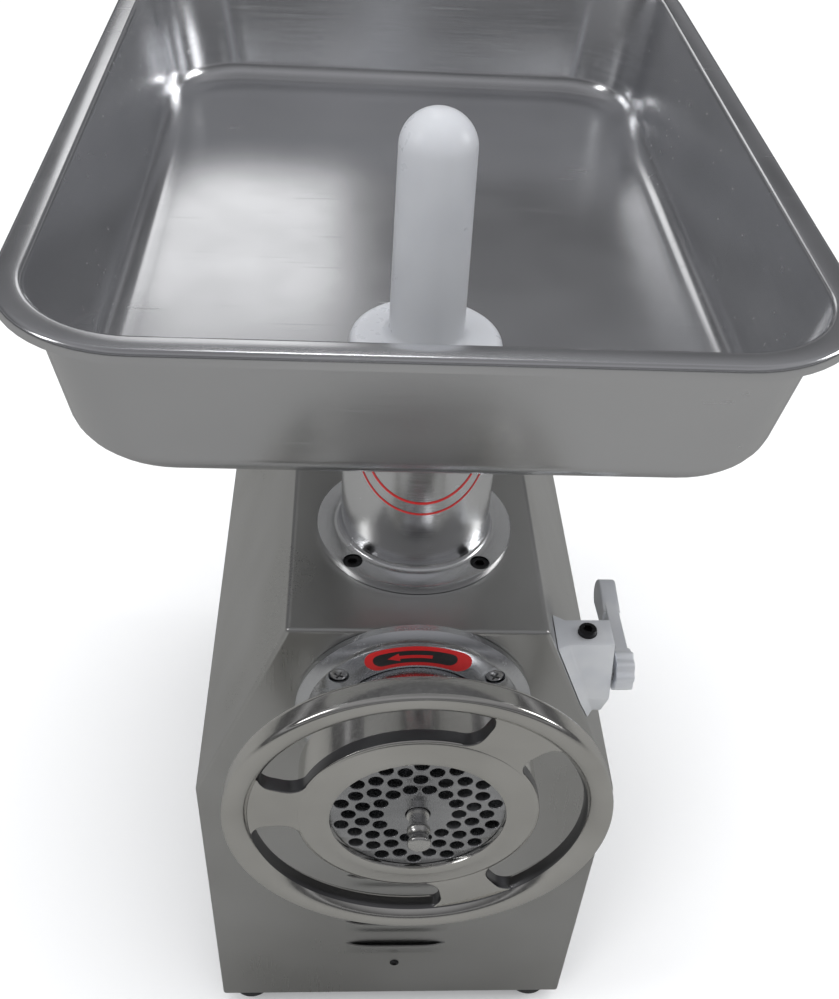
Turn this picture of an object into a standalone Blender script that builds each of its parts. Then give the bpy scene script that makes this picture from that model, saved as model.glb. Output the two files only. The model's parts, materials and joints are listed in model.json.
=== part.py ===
"""Electric meat grinder, size 22, modelled as separate sub-parts.

Metres, +Z up. The origin is on the table under the middle of the whole machine. The minced meat
comes out towards -Y, the operator's side, and +X is the operator's right. Depths are measured
backwards from the face of the front panel, so a piece in front of the panel has a negative depth.
"""

import math

import bmesh
import bpy
from mathutils import Matrix, Vector

# Gaps
CLEAR = 0.0003  # between pieces that touch
RUN = 0.0005  # around a piece that slides or turns in another

# Housing: a folded wrap with upright sides, sloping shoulders and a narrow flat top
HOUSING_WIDTH = 0.210
HOUSING_DEPTH = 0.350
SIDE_HEIGHT = 0.210
HOUSING_HEIGHT = 0.324
TOP_WIDTH = 0.114
SHEET = 0.0015
FOOT_HEIGHT = 0.015
FOOT_RADIUS = 0.0125
FOOT_INSET = 0.0165  # from the housing's side to the foot's middle
FOOT_DEPTH_INSET = 0.017
BASE_THICKNESS = 0.002

# Louvres in the front panel
LOUVRE_COUNT = 5
LOUVRE_LENGTH = 0.048
LOUVRE_HEIGHT = 0.003
LOUVRE_PITCH = 0.0242
LOUVRE_LOWEST = 0.0585
FRONT_SCREW_HEIGHT = 0.0365
FRONT_SCREW_RADIUS = 0.0018

# Grinding head
AXIS_HEIGHT = 0.274  # of the barrel's axis above the housing's lower edge
NECK_RADIUS = 0.035
BARREL_BORE = 0.030
BARREL_BACK = 0.122  # depth of the barrel's back end
BARREL_WALL_BACK = 0.006
INLET_RADIUS = 0.026
BELL_RADIUS = 0.046
BELL_BACK = -0.032
BELL_WALL = 0.0047
PLATE_THICKNESS = 0.008
PLATE_PROUD = 0.003  # how far the plate stands out of the barrel
PLATE_HOLE_RADIUS = 0.003
PLATE_HOLE_PITCH = 0.008
PLATE_HOLES_ROUND = 14
PLATE_FIRST_RING = 0.0176
PLATE_RINGS = 4
KNIFE_THICKNESS = 0.009
KNIFE_RADIUS = 0.039
KNIFE_BLADES = 4
KNIFE_SQUARE = 0.014

# Ring handwheel, which screws onto the barrel and holds the plate
RING_FORWARD = 0.0626  # from the front panel to the hub's front face
RING_LIP = 0.0024
RING_APERTURE = 0.0372
RING_HUB_WALL = 0.0050
RING_HUB_LENGTH = 0.027
RING_RADIUS = 0.0824
RING_RIM_WIDTH = 0.0099
RING_RIM_THICKNESS = 0.0135
RING_RIM_PROUD = 0.0036
RING_WEB_THICKNESS = 0.0070
RING_WEB_STEP = 0.0008
RING_SPOKES = (54.0, 174.0, 294.0)  # degrees, anticlockwise from +X as the operator sees it
RING_SPOKE_ANGLE = 24.0
RING_SLOT_CORNER = 0.0075

# Auger
AUGER_CORE = 0.013
AUGER_PITCH = 0.042
AUGER_FLIGHT_ROOT = 0.0065
AUGER_FLIGHT_TIP = 0.0035
AUGER_TANG = 0.016
AUGER_TANG_LENGTH = 0.023
WASHER_THICKNESS = 0.0015
PIN_RADIUS = 0.0050
PIN_BEYOND_RING = 0.0130

# Socket that holds the head, with its flange on the front panel
SOCKET_WALL = 0.0055
SOCKET_FLANGE_FACE = 0.0503
SOCKET_FLANGE_BACK = 0.0544
SOCKET_FLANGE_THICKNESS = 0.008
SOCKET_SCREW_CIRCLE = 0.0455
SOCKET_SCREW_ANGLES = (41.0, 139.0, 221.0, 319.0)
SOCKET_BOSS_RADIUS = 0.0455

# Feed tube on the top
FEED_DEPTH = 0.0685
FEED_RADIUS = 0.0343
FEED_WALL = 0.003
FEED_HEIGHT = 0.0795  # from the housing's top to the tray
FEED_FLANGE_RADIUS = 0.0457
FEED_FLANGE_THICKNESS = 0.0045
FEED_SCREW_CIRCLE = 0.0408

# Fasteners
SCREW_HEAD = 0.0041
SCREW_SHANK = 0.0022
SCREW_HEAD_HEIGHT = 0.0035

# Side clamp
CLAMP_DEPTH = 0.0135
CLAMP_RISE = 0.012  # above the barrel's axis
CLAMP_BLOCK_THICKNESS = 0.016
CLAMP_BLOCK_REACH = 0.0925  # of its outer face from the middle plane
CLAMP_BLOCK_UP = 0.025
CLAMP_BLOCK_DOWN = 0.024
CLAMP_SCREW_RADIUS = 0.005
CLAMP_PAD_LENGTH = 0.007
LEVER_THICKNESS = 0.0088
LEVER_HUB = 0.0100
LEVER_END = 0.0080
LEVER_LENGTH = 0.050

# Feed tray and pusher
TRAY_LENGTH = 0.443
TRAY_WIDTH = 0.318
TRAY_OVERHANG = 0.018  # in front of the front panel
TRAY_DEPTH = 0.066
TRAY_SHEET = 0.0012
TRAY_RIM = 0.0115
TRAY_LIP = 0.005
TRAY_DRAFT = 0.0085
TRAY_CORNER = 0.055
TRAY_FILLET = 0.0065
COLLAR_LENGTH = 0.030  # down into the feed tube
COLLAR_RISE = 0.012  # above the tray's floor
PUSHER_HANDLE = 0.0155
PUSHER_HEIGHT = 0.103
PUSHER_DISC = 0.0318
PUSHER_DISC_THICKNESS = 0.0125
PUSHER_PLUNGER_LENGTH = 0.085

# Gear train: motor pinion, idler wheel, idler pinion, output gear
PRESSURE_ANGLE = math.radians(25.0)
ADDENDUM = 0.8
DEDENDUM = 1.15
BACKLASH = 0.06
OUTPUT_TEETH = 34
IDLER_PINION_TEETH = 14
OUTPUT_MODULE = 0.002
OUTPUT_WIDTH = 0.014
IDLER_TEETH = 44
MOTOR_PINION_TEETH = 12
MOTOR_MODULE = 0.0015
IDLER_WIDTH = 0.012

# Gearbox, by depth
GEARBOX_FRONT = 0.128
GEARBOX_WALL = 0.012
GEARBOX_CAVITY = 0.040
GEARBOX_SHELL = 0.004
GEARBOX_RADIUS = 0.043
COVER_THICKNESS = 0.012
BEARING_WIDTH = 0.0087
DRIVE_SHAFT_RADIUS = 0.020
DRIVE_SHAFT_STEP = 0.014
DRIVE_SHAFT_TAIL = 0.010
DRIVE_BEARING = 0.032
TAIL_BEARING = 0.021
IDLER_SHAFT_RADIUS = 0.007
IDLER_BEARING = 0.016

# Motor
MOTOR_RADIUS = 0.064
MOTOR_SHELL = 0.004
MOTOR_LENGTH = 0.088
SHIELD_THICKNESS = 0.0107
ROTOR_RADIUS = 0.038
ROTOR_LENGTH = 0.056
MOTOR_SHAFT_RADIUS = 0.008
MOTOR_SHAFT_NOSE = 0.005
FAN_RADIUS = 0.052
FAN_BLADES = 9
FAN_WIDTH = 0.011
BRACKET_WIDTH = 0.090
BRACKET_LENGTH = 0.034
BRACKET_SHEET = 0.004

# Electrical pieces
CAPACITOR_RADIUS = 0.019
CAPACITOR_LENGTH = 0.085
CAPACITOR_PLACE = (-0.062, 0.075)
SWITCH_DEPTH = 0.105
SWITCH_HEIGHT = 0.120
BUTTON_SPACING = 0.034
BUTTON_RADIUS = 0.0108
BUTTON_PROUD = 0.006
BUTTON_TRAVEL = 0.003
BUTTON_STEM = 0.004
SWITCH_BOX = (0.034, 0.078, 0.042)
SWITCH_PLATE = (0.002, 0.084, 0.040)
GLAND_HEIGHT = 0.050
GLAND_RADIUS = 0.0115
GLAND_STEM = 0.008
GLAND_BORE = 0.004
GLAND_LENGTH = 0.014

# Places worked out from the sizes above
PIN_TIP = -(RING_FORWARD + PIN_BEYOND_RING)
FRONT_Y = -0.5 * (TRAY_LENGTH - TRAY_OVERHANG + PIN_TIP)
BASE_Z = FOOT_HEIGHT
TOP_Z = BASE_Z + HOUSING_HEIGHT
AXIS_Z = BASE_Z + AXIS_HEIGHT
TRAY_FLOOR_Z = TOP_Z + FEED_HEIGHT + CLEAR + TRAY_SHEET
PLATE_FRONT = -(RING_FORWARD - RING_LIP - CLEAR)
PLATE_BACK = PLATE_FRONT + PLATE_THICKNESS
BARREL_FRONT = PLATE_FRONT + PLATE_PROUD
PLATE_RADIUS = BELL_RADIUS - BELL_WALL - CLEAR
KNIFE_FRONT = PLATE_BACK + CLEAR
KNIFE_BACK = KNIFE_FRONT + KNIFE_THICKNESS
AUGER_FRONT = KNIFE_BACK + CLEAR
BARREL_WALL_FRONT = BARREL_BACK - BARREL_WALL_BACK
AUGER_SHOULDER = BARREL_WALL_FRONT - WASHER_THICKNESS - 2 * CLEAR
AUGER_RADIUS = BARREL_BORE - RUN
JOURNAL_RADIUS = AUGER_CORE + 0.0012
SOCKET_BORE = NECK_RADIUS + CLEAR
SOCKET_RADIUS = SOCKET_BORE + SOCKET_WALL
SOCKET_BACK = GEARBOX_FRONT - RUN
RING_BORE = BELL_RADIUS + CLEAR
RING_HUB = RING_BORE + RING_HUB_WALL
FEED_BORE = FEED_RADIUS - FEED_WALL
COLLAR_RADIUS = FEED_BORE - RUN
COLLAR_BORE = COLLAR_RADIUS - TRAY_SHEET
PLUNGER_RADIUS = COLLAR_BORE - RUN
CLAMP_Z = AXIS_Z + CLAMP_RISE
CAVITY_FRONT = GEARBOX_FRONT + GEARBOX_WALL
CAVITY_BACK = CAVITY_FRONT + GEARBOX_CAVITY
COVER_FRONT = CAVITY_BACK + CLEAR
COVER_BACK = COVER_FRONT + COVER_THICKNESS
OUTPUT_FRONT = CAVITY_FRONT + 0.003
OUTPUT_BACK = OUTPUT_FRONT + OUTPUT_WIDTH
IDLER_FRONT = OUTPUT_BACK + 0.005
IDLER_BACK = IDLER_FRONT + IDLER_WIDTH
IDLER_Z = AXIS_Z - 0.5 * OUTPUT_MODULE * (OUTPUT_TEETH + IDLER_PINION_TEETH)
MOTOR_Z = IDLER_Z - 0.5 * MOTOR_MODULE * (IDLER_TEETH + MOTOR_PINION_TEETH)
SHIELD_FRONT = COVER_BACK + CLEAR
SHIELD_BACK = SHIELD_FRONT + SHIELD_THICKNESS
MOTOR_FRONT = SHIELD_BACK + CLEAR
MOTOR_BACK = MOTOR_FRONT + MOTOR_LENGTH
ROTOR_FRONT = MOTOR_FRONT + 0.012
ROTOR_BACK = ROTOR_FRONT + ROTOR_LENGTH
FAN_FRONT = MOTOR_BACK + 0.004
SLOPE = math.atan2(HOUSING_WIDTH - TOP_WIDTH, 2 * (HOUSING_HEIGHT - SIDE_HEIGHT))

FINISHES = {
    "satin_steel": ((0.42, 0.42, 0.40), 0.32, 1.0),
    "tray_steel": ((0.55, 0.56, 0.57), 0.25, 1.0),
    "polished_steel": ((0.66, 0.65, 0.62), 0.12, 1.0),
    "machined_aluminium": ((0.72, 0.73, 0.74), 0.25, 1.0),
    "cast_aluminium": ((0.62, 0.64, 0.68), 0.38, 1.0),
    "dark_fastener": ((0.06, 0.06, 0.07), 0.40, 1.0),
    "tool_steel": ((0.40, 0.41, 0.42), 0.35, 1.0),
    "gear_steel": ((0.35, 0.35, 0.36), 0.35, 1.0),
    "bearing_steel": ((0.60, 0.60, 0.62), 0.20, 1.0),
    "brass": ((0.72, 0.55, 0.25), 0.30, 1.0),
    "motor_paint": ((0.10, 0.16, 0.22), 0.45, 0.0),
    "copper_winding": ((0.55, 0.25, 0.12), 0.40, 1.0),
    "black_rubber": ((0.03, 0.03, 0.03), 0.80, 0.0),
    "black_plastic": ((0.04, 0.04, 0.045), 0.45, 0.0),
    "white_plastic": ((0.80, 0.82, 0.84), 0.35, 0.0),
    "green_plastic": ((0.03, 0.35, 0.10), 0.35, 0.0),
    "red_plastic": ((0.55, 0.03, 0.03), 0.35, 0.0),
    "capacitor_shell": ((0.70, 0.70, 0.68), 0.45, 0.0),
}


def clear_scene():
    for old in list(bpy.data.objects):
        bpy.data.objects.remove(old, do_unlink=True)


def make_collection(name):
    made = bpy.data.collections.new(name)
    bpy.context.scene.collection.children.link(made)
    return made


clear_scene()
PARTS = make_collection("MeatGrinder")
CUTTERS = make_collection("Cutters")
MATERIALS = {}


def finish_material(name):
    """The Principled material of one finish, made once."""
    if name not in MATERIALS:
        colour, roughness, metallic = FINISHES[name]
        made = bpy.data.materials.new(name)
        made.use_nodes = True
        shader = made.node_tree.nodes["Principled BSDF"]
        shader.inputs["Base Color"].default_value = (*colour, 1.0)
        shader.inputs["Roughness"].default_value = roughness
        shader.inputs["Metallic"].default_value = metallic
        made.diffuse_color = (*colour, 1.0)
        MATERIALS[name] = made
    return MATERIALS[name]


def add_object(name, data, finish, place=(0, 0, 0), turn=(0, 0, 0)):
    """Links an object into the parts, or into the cutters when it has no finish."""
    made = bpy.data.objects.new(name, data)
    made.location = place
    made.rotation_euler = turn
    if finish is None:
        CUTTERS.objects.link(made)
        made.hide_render = True
        made.display_type = "WIRE"
    else:
        PARTS.objects.link(made)
        data.materials.append(finish_material(finish))
    return made


def add_bmesh(name, shape, finish, place=(0, 0, 0), turn=(0, 0, 0)):
    data = bpy.data.meshes.new(name)
    shape.to_mesh(data)
    shape.free()
    return add_object(name, data, finish, place, turn)


# A turned piece's own +Z is its axis. These turns lay it along the axis named.
TURNS = {"Z": (0, 0, 0), "Y": (math.pi / 2, 0, 0), "X": (0, math.pi / 2, 0)}


def lathe(name, profile, finish, axis="Y", place=None, steps=32, closed=True):
    """Turns a profile of (radius, distance) points. It runs from the front or top down the outside.

    Along Y the distance is a depth behind the front panel; along Z and X it is measured from place.
    """
    sign = -1 if axis == "Y" else 1
    data = bpy.data.meshes.new(name)
    points = [(radius, 0, sign * along) for radius, along in profile]
    edges = [(i, i + 1) for i in range(len(points) - 1)]
    if closed:
        edges.append((len(points) - 1, 0))
    data.from_pydata(points, edges, [])
    made = add_object(name, data, finish, place or (0, FRONT_Y, AXIS_Z), TURNS[axis])
    screw = made.modifiers.new("turned", "SCREW")
    screw.axis = "Z"
    screw.steps = steps
    screw.render_steps = steps
    screw.use_merge_vertices = True
    screw.merge_threshold = 0.00001
    screw.use_smooth_shade = True
    return made


def rod(name, radius, start, end, finish, axis="Y", place=None, steps=32):
    """A plain round bar between two distances along its axis."""
    first, last = (start, end) if axis == "Y" else (end, start)
    profile = [(0, first), (radius, first), (radius, last), (0, last)]
    return lathe(name, profile, finish, axis, place, steps, closed=False)


def sleeve(name, bore, radius, start, end, finish, axis="Y", place=None, steps=32):
    """A plain round tube between two distances along its axis."""
    first, last = (start, end) if axis == "Y" else (end, start)
    profile = [(bore, first), (radius, first), (radius, last), (bore, last)]
    return lathe(name, profile, finish, axis, place, steps)


def box(name, low, high, finish):
    """A box between two world corners, with its origin in the middle."""
    low = Vector(low)
    high = Vector(high)
    shape = bmesh.new()
    bmesh.ops.create_cube(shape, size=1.0)
    bmesh.ops.scale(shape, vec=high - low, verts=shape.verts)
    return add_bmesh(name, shape, finish, (low + high) / 2)


def prism(name, outline, start, end, finish, place=None):
    """An outline of (x, z) points extruded between two depths."""
    shape = bmesh.new()
    corners = [shape.verts.new((x, z, -start)) for x, z in outline]
    face = shape.faces.new(corners)
    grown = bmesh.ops.extrude_face_region(shape, geom=[face])
    moved = [v for v in grown["geom"] if isinstance(v, bmesh.types.BMVert)]
    bmesh.ops.translate(shape, verts=moved, vec=(0, 0, start - end))
    bmesh.ops.recalc_face_normals(shape, faces=shape.faces)
    return add_bmesh(name, shape, finish, place or (0, FRONT_Y, AXIS_Z), TURNS["Y"])


def flat_piece(name, outlines, start, end, finish, place=None):
    """A flat piece between two depths. The first outline is its edge and the others are holes."""
    data = bpy.data.curves.new(name, "CURVE")
    data.dimensions = "2D"
    data.fill_mode = "BOTH"
    data.extrude = 0.5 * (end - start)
    for outline in outlines:
        spline = data.splines.new("POLY")
        spline.points.add(len(outline) - 1)
        for point, (x, z) in zip(spline.points, outline):
            point.co = (x, z, 0, 1)
        spline.use_cyclic_u = True
    x, y, z = place or (0, FRONT_Y, AXIS_Z)
    return add_object(name, data, finish, (x, y + 0.5 * (start + end), z), TURNS["Y"])


def circle(radius, steps, centre=(0, 0), first=0.0):
    """Points round a circle, with the first at an angle in radians."""
    angles = [first + 2 * math.pi * i / steps for i in range(steps)]
    return [(centre[0] + radius * math.cos(a), centre[1] + radius * math.sin(a)) for a in angles]


def around(radius, degrees):
    """The point at an angle on a circle about the origin."""
    angle = math.radians(degrees)
    return radius * math.cos(angle), radius * math.sin(angle)


def boolean(target, other, operation):
    made = target.modifiers.new(other.name, "BOOLEAN")
    made.operation = operation
    made.solver = "EXACT"
    made.object = other


def cut(target, *cutters):
    for cutter in cutters:
        boolean(target, cutter, "DIFFERENCE")


def join(target, *others):
    for other in others:
        boolean(target, other, "UNION")


def several_rods(name, centres, radius, start, end, axis, steps=10):
    """One cutter made of equal round bars, for a pattern of holes. Centres are world points."""
    shape = bmesh.new()
    length = end - start
    turn = Matrix.Rotation(-math.pi / 2, 4, "X") if axis == "Y" else Matrix.Identity(4)
    if axis == "X":
        turn = Matrix.Rotation(math.pi / 2, 4, "Y")
    along = turn.to_3x3() @ Vector((0, 0, 0.5 * (start + end)))
    for centre in centres:
        bmesh.ops.create_cone(
            shape,
            cap_ends=True,
            segments=steps,
            radius1=radius,
            radius2=radius,
            depth=length,
            matrix=Matrix.Translation(Vector(centre) + along) @ turn,
        )
    return add_bmesh(name, shape, None)


def several_boxes(name, boxes):
    """One cutter made of boxes, each between two world corners."""
    shape = bmesh.new()
    for low, high in boxes:
        low = Vector(low)
        high = Vector(high)
        middle = Matrix.Translation((low + high) / 2)
        bmesh.ops.create_cube(shape, size=1.0, matrix=middle @ Matrix.Diagonal((*(high - low), 1)))
    return add_bmesh(name, shape, None)


# Housing


def housing_outline():
    """The front panel's outline about the middle of the housing's lower edge."""
    half = 0.5 * HOUSING_WIDTH
    top = 0.5 * TOP_WIDTH
    right = [(half, 0), (half, SIDE_HEIGHT), (top, HOUSING_HEIGHT)]
    return right + [(-x, z) for x, z in reversed(right)]


def feed_screw_centres(z):
    points = [around(FEED_SCREW_CIRCLE, 45 + 90 * i) for i in range(4)]
    return [(x, FRONT_Y + FEED_DEPTH + y, z) for x, y in points]


def socket_screw_centres():
    points = [around(SOCKET_SCREW_CIRCLE, degrees) for degrees in SOCKET_SCREW_ANGLES]
    return [(x, FRONT_Y, AXIS_Z + z) for x, z in points]


def louvre_slots():
    slots = []
    for row in range(LOUVRE_COUNT):
        z = BASE_Z + LOUVRE_LOWEST + row * LOUVRE_PITCH
        low = (-0.5 * LOUVRE_LENGTH, FRONT_Y - SHEET, z - 0.5 * LOUVRE_HEIGHT)
        high = (0.5 * LOUVRE_LENGTH, FRONT_Y + 2 * SHEET, z + 0.5 * LOUVRE_HEIGHT)
        slots.append((low, high))
    return slots


def button_centres(x):
    y = FRONT_Y + SWITCH_DEPTH
    return [(x, y + side * 0.5 * BUTTON_SPACING, BASE_Z + SWITCH_HEIGHT) for side in (-1, 1)]


def body_shell():
    """The front panel and the wrap, welded into one shell that is open behind and below."""
    shape = bmesh.new()
    corners = [shape.verts.new((x, FRONT_Y, BASE_Z + z)) for x, z in housing_outline()]
    shape.faces.new(corners)
    lower = {corners[0], corners[-1]}
    folds = [e for e in shape.edges if set(e.verts) != lower]
    grown = bmesh.ops.extrude_edge_only(shape, edges=folds)
    moved = [v for v in grown["geom"] if isinstance(v, bmesh.types.BMVert)]
    bmesh.ops.translate(shape, verts=moved, vec=(0, HOUSING_DEPTH, 0))
    bmesh.ops.recalc_face_normals(shape, faces=shape.faces)
    shell = add_bmesh("body_shell", shape, "satin_steel")
    sheet = shell.modifiers.new("sheet", "SOLIDIFY")
    sheet.thickness = SHEET
    sheet.offset = -1
    sheet.use_even_offset = True
    deep = 2 * SHEET
    socket = rod("hole_for_socket", SOCKET_RADIUS + CLEAR, -deep, deep, None)
    screws = several_rods(
        "holes_for_socket_screws", socket_screw_centres(), SCREW_SHANK + CLEAR, -deep, deep, "Y"
    )
    louvres = several_boxes("louvre_slots", louvre_slots())
    feed = rod(
        "hole_for_feed", FEED_BORE, -deep, deep, None, "Z", (0, FRONT_Y + FEED_DEPTH, TOP_Z)
    )
    feed_screws = several_rods(
        "holes_for_feed_screws", feed_screw_centres(TOP_Z), SCREW_SHANK + CLEAR, -deep, deep, "Z"
    )
    clamp = rod(
        "hole_for_clamp",
        CLAMP_SCREW_RADIUS + 0.002,
        0.5 * TOP_WIDTH,
        0.5 * HOUSING_WIDTH,
        None,
        "X",
        (0, FRONT_Y + CLAMP_DEPTH, CLAMP_Z),
        steps=20,
    )
    front_screw = several_rods(
        "hole_for_front_screw",
        [(0, FRONT_Y, BASE_Z + FRONT_SCREW_HEIGHT)],
        FRONT_SCREW_RADIUS + CLEAR,
        -deep,
        deep,
        "Y",
    )
    buttons = several_rods(
        "holes_for_buttons",
        button_centres(0.5 * HOUSING_WIDTH),
        BUTTON_RADIUS + RUN,
        -deep,
        deep,
        "X",
        16,
    )
    cut(shell, socket, screws, louvres, feed, feed_screws, clamp, front_screw, buttons)


def rear_panel():
    """The removable back, with two columns of vent slots and the hole for the cord gland."""
    edge = [(x, z - AXIS_HEIGHT) for x, z in housing_outline()]
    holes = []
    for row in range(8):
        z = 0.120 + 0.011 * row - AXIS_HEIGHT
        for side in (-1, 1):
            inner = side * 0.012
            outer = side * 0.052
            holes.append([(inner, z), (outer, z), (outer, z + 0.0035), (inner, z + 0.0035)])
    holes.append(circle(GLAND_STEM + CLEAR, 20, (0, GLAND_HEIGHT - AXIS_HEIGHT)))
    start = HOUSING_DEPTH + CLEAR
    flat_piece("rear_panel", [edge] + holes, start, start + SHEET, "satin_steel")


def base_plate():
    half = 0.5 * HOUSING_WIDTH - SHEET - CLEAR
    low = (-half, FRONT_Y + SHEET + CLEAR, BASE_Z)
    high = (half, FRONT_Y + HOUSING_DEPTH, BASE_Z + BASE_THICKNESS)
    plate = box("base_plate", low, high, "satin_steel")
    slots = []
    for row in range(6):
        y = FRONT_Y + 0.150 + 0.016 * row
        slots.append(((-0.030, y, BASE_Z - 0.002), (0.030, y + 0.006, BASE_Z + 0.006)))
    cut(plate, several_boxes("base_vents", slots))


def feet():
    for side, side_name in ((-1, "left"), (1, "right")):
        for depth, end_name in ((FOOT_DEPTH_INSET, "front"), (HOUSING_DEPTH - FOOT_DEPTH_INSET, "rear")):
            x = side * (0.5 * HOUSING_WIDTH - FOOT_INSET)
            profile = [
                (0, FOOT_HEIGHT - CLEAR),
                (FOOT_RADIUS, FOOT_HEIGHT - CLEAR),
                (FOOT_RADIUS, 0.004),
                (FOOT_RADIUS - 0.002, 0),
                (0, 0),
            ]
            place = (x, FRONT_Y + depth, 0)
            name = f"foot_{end_name}_{side_name}"
            lathe(name, profile, "black_rubber", "Z", place, 20, closed=False)


def screw(name, place, axis, length, recess, finish="dark_fastener"):
    """A screw with a sunk socket or cross. Its head's top is at place, and it points along -axis."""
    profile = [
        (0, -recess),
        (0.0018, -recess),
        (0.0018, 0),
        (SCREW_HEAD - 0.0004, 0),
        (SCREW_HEAD, -0.0005),
        (SCREW_HEAD, -SCREW_HEAD_HEIGHT),
        (SCREW_SHANK, -SCREW_HEAD_HEIGHT),
        (SCREW_SHANK, -length),
        (0, -length),
    ]
    if axis == "Y":
        profile = [(radius, -along) for radius, along in profile]
    lathe(name, profile, finish, axis, place, 10, closed=False)


def front_panel_screw():
    head = -(SCREW_HEAD_HEIGHT * 0.6)
    profile = [
        (0, head),
        (0.0024, head + 0.0004),
        (0.0033, -CLEAR),
        (FRONT_SCREW_RADIUS, -CLEAR),
        (FRONT_SCREW_RADIUS, 0.008),
        (0, 0.008),
    ]
    place = (0, FRONT_Y, BASE_Z + FRONT_SCREW_HEIGHT)
    lathe("front_panel_screw", profile, "dark_fastener", "Y", place, 12, closed=False)


# Feed tube


def feed_tube():
    """The fixed tube that carries the tray, with its flange on the housing's top."""
    top = FEED_HEIGHT
    flange = FEED_FLANGE_THICKNESS
    profile = [
        (FEED_BORE, top),
        (FEED_RADIUS, top),
        (FEED_RADIUS, flange + 0.006),
        (FEED_RADIUS + 0.0008, flange + 0.0025),
        (FEED_RADIUS + 0.0028, flange),
        (FEED_FLANGE_RADIUS - 0.0006, flange),
        (FEED_FLANGE_RADIUS, flange - 0.0006),
        (FEED_FLANGE_RADIUS, CLEAR),
        (FEED_BORE, CLEAR),
    ]
    place = (0, FRONT_Y + FEED_DEPTH, TOP_Z)
    tube = lathe("feed_tube", profile, "machined_aluminium", "Z", place)
    centres = feed_screw_centres(TOP_Z)
    sunk = flange - SCREW_HEAD_HEIGHT - CLEAR
    heads = several_rods("feed_counterbores", centres, SCREW_HEAD + CLEAR, sunk, flange + 0.001, "Z")
    shanks = several_rods("feed_screw_holes", centres, SCREW_SHANK + CLEAR, -0.001, flange, "Z")
    cut(tube, heads, shanks)
    for index, centre in enumerate(feed_screw_centres(TOP_Z + flange)):
        screw(f"feed_flange_screw_{index + 1}", centre, "Z", flange + SHEET + 0.004, 0.0022)


# Socket


def head_socket():
    """The casting that holds the barrel and leads the meat down into it."""
    face = -SOCKET_FLANGE_THICKNESS
    profile = [
        (0, face),
        (SOCKET_FLANGE_FACE, face),
        (SOCKET_FLANGE_BACK, face + 0.004),
        (SOCKET_FLANGE_BACK, -CLEAR),
        (SOCKET_RADIUS, -CLEAR),
        (SOCKET_RADIUS, SOCKET_BACK),
        (0, SOCKET_BACK),
    ]
    socket = lathe("head_socket", profile, "machined_aluminium", closed=False)
    centre = (0, FRONT_Y + FEED_DEPTH, AXIS_Z)
    boss_top = TOP_Z - SHEET - CLEAR - AXIS_Z
    boss = rod("socket_boss", SOCKET_BOSS_RADIUS, 0.021, boss_top, None, "Z", centre, 40)
    bore = rod("socket_bore", SOCKET_BORE, face - 0.01, SOCKET_BACK + 0.01, None, steps=40)
    throat = rod("socket_throat", FEED_BORE, 0.010, boss_top + 0.01, None, "Z", centre, 40)
    centres = socket_screw_centres()
    sunk = face + SCREW_HEAD_HEIGHT + CLEAR
    heads = several_rods("socket_counterbores", centres, SCREW_HEAD + CLEAR, face - 0.001, sunk, "Y")
    shanks = several_rods("socket_screw_holes", centres, SCREW_SHANK + CLEAR, face, 0.001, "Y")
    feed = feed_screw_centres(TOP_Z)
    taps = several_rods("socket_taps", feed, SCREW_SHANK + CLEAR, -0.008, 0, "Z")
    clamp = rod(
        "socket_clamp_hole",
        CLAMP_SCREW_RADIUS + RUN,
        0.5 * NECK_RADIUS,
        SOCKET_BOSS_RADIUS,
        None,
        "X",
        (0, FRONT_Y + CLAMP_DEPTH, CLAMP_Z),
        steps=20,
    )
    cut(socket, heads, shanks)
    join(socket, boss)
    cut(socket, taps, clamp, bore, throat)
    for index, (x, y, z) in enumerate(centres):
        length = SOCKET_FLANGE_THICKNESS + SHEET + 0.004
        screw(f"socket_screw_{index + 1}", (x, y + face, z), "Y", length, 0.0016)


# Side clamp


def shoulder_x(height):
    """How far the sloping shoulder is from the middle plane, at a height above the lower edge."""
    return 0.5 * TOP_WIDTH + (HOUSING_HEIGHT - height) * math.tan(SLOPE)


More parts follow.
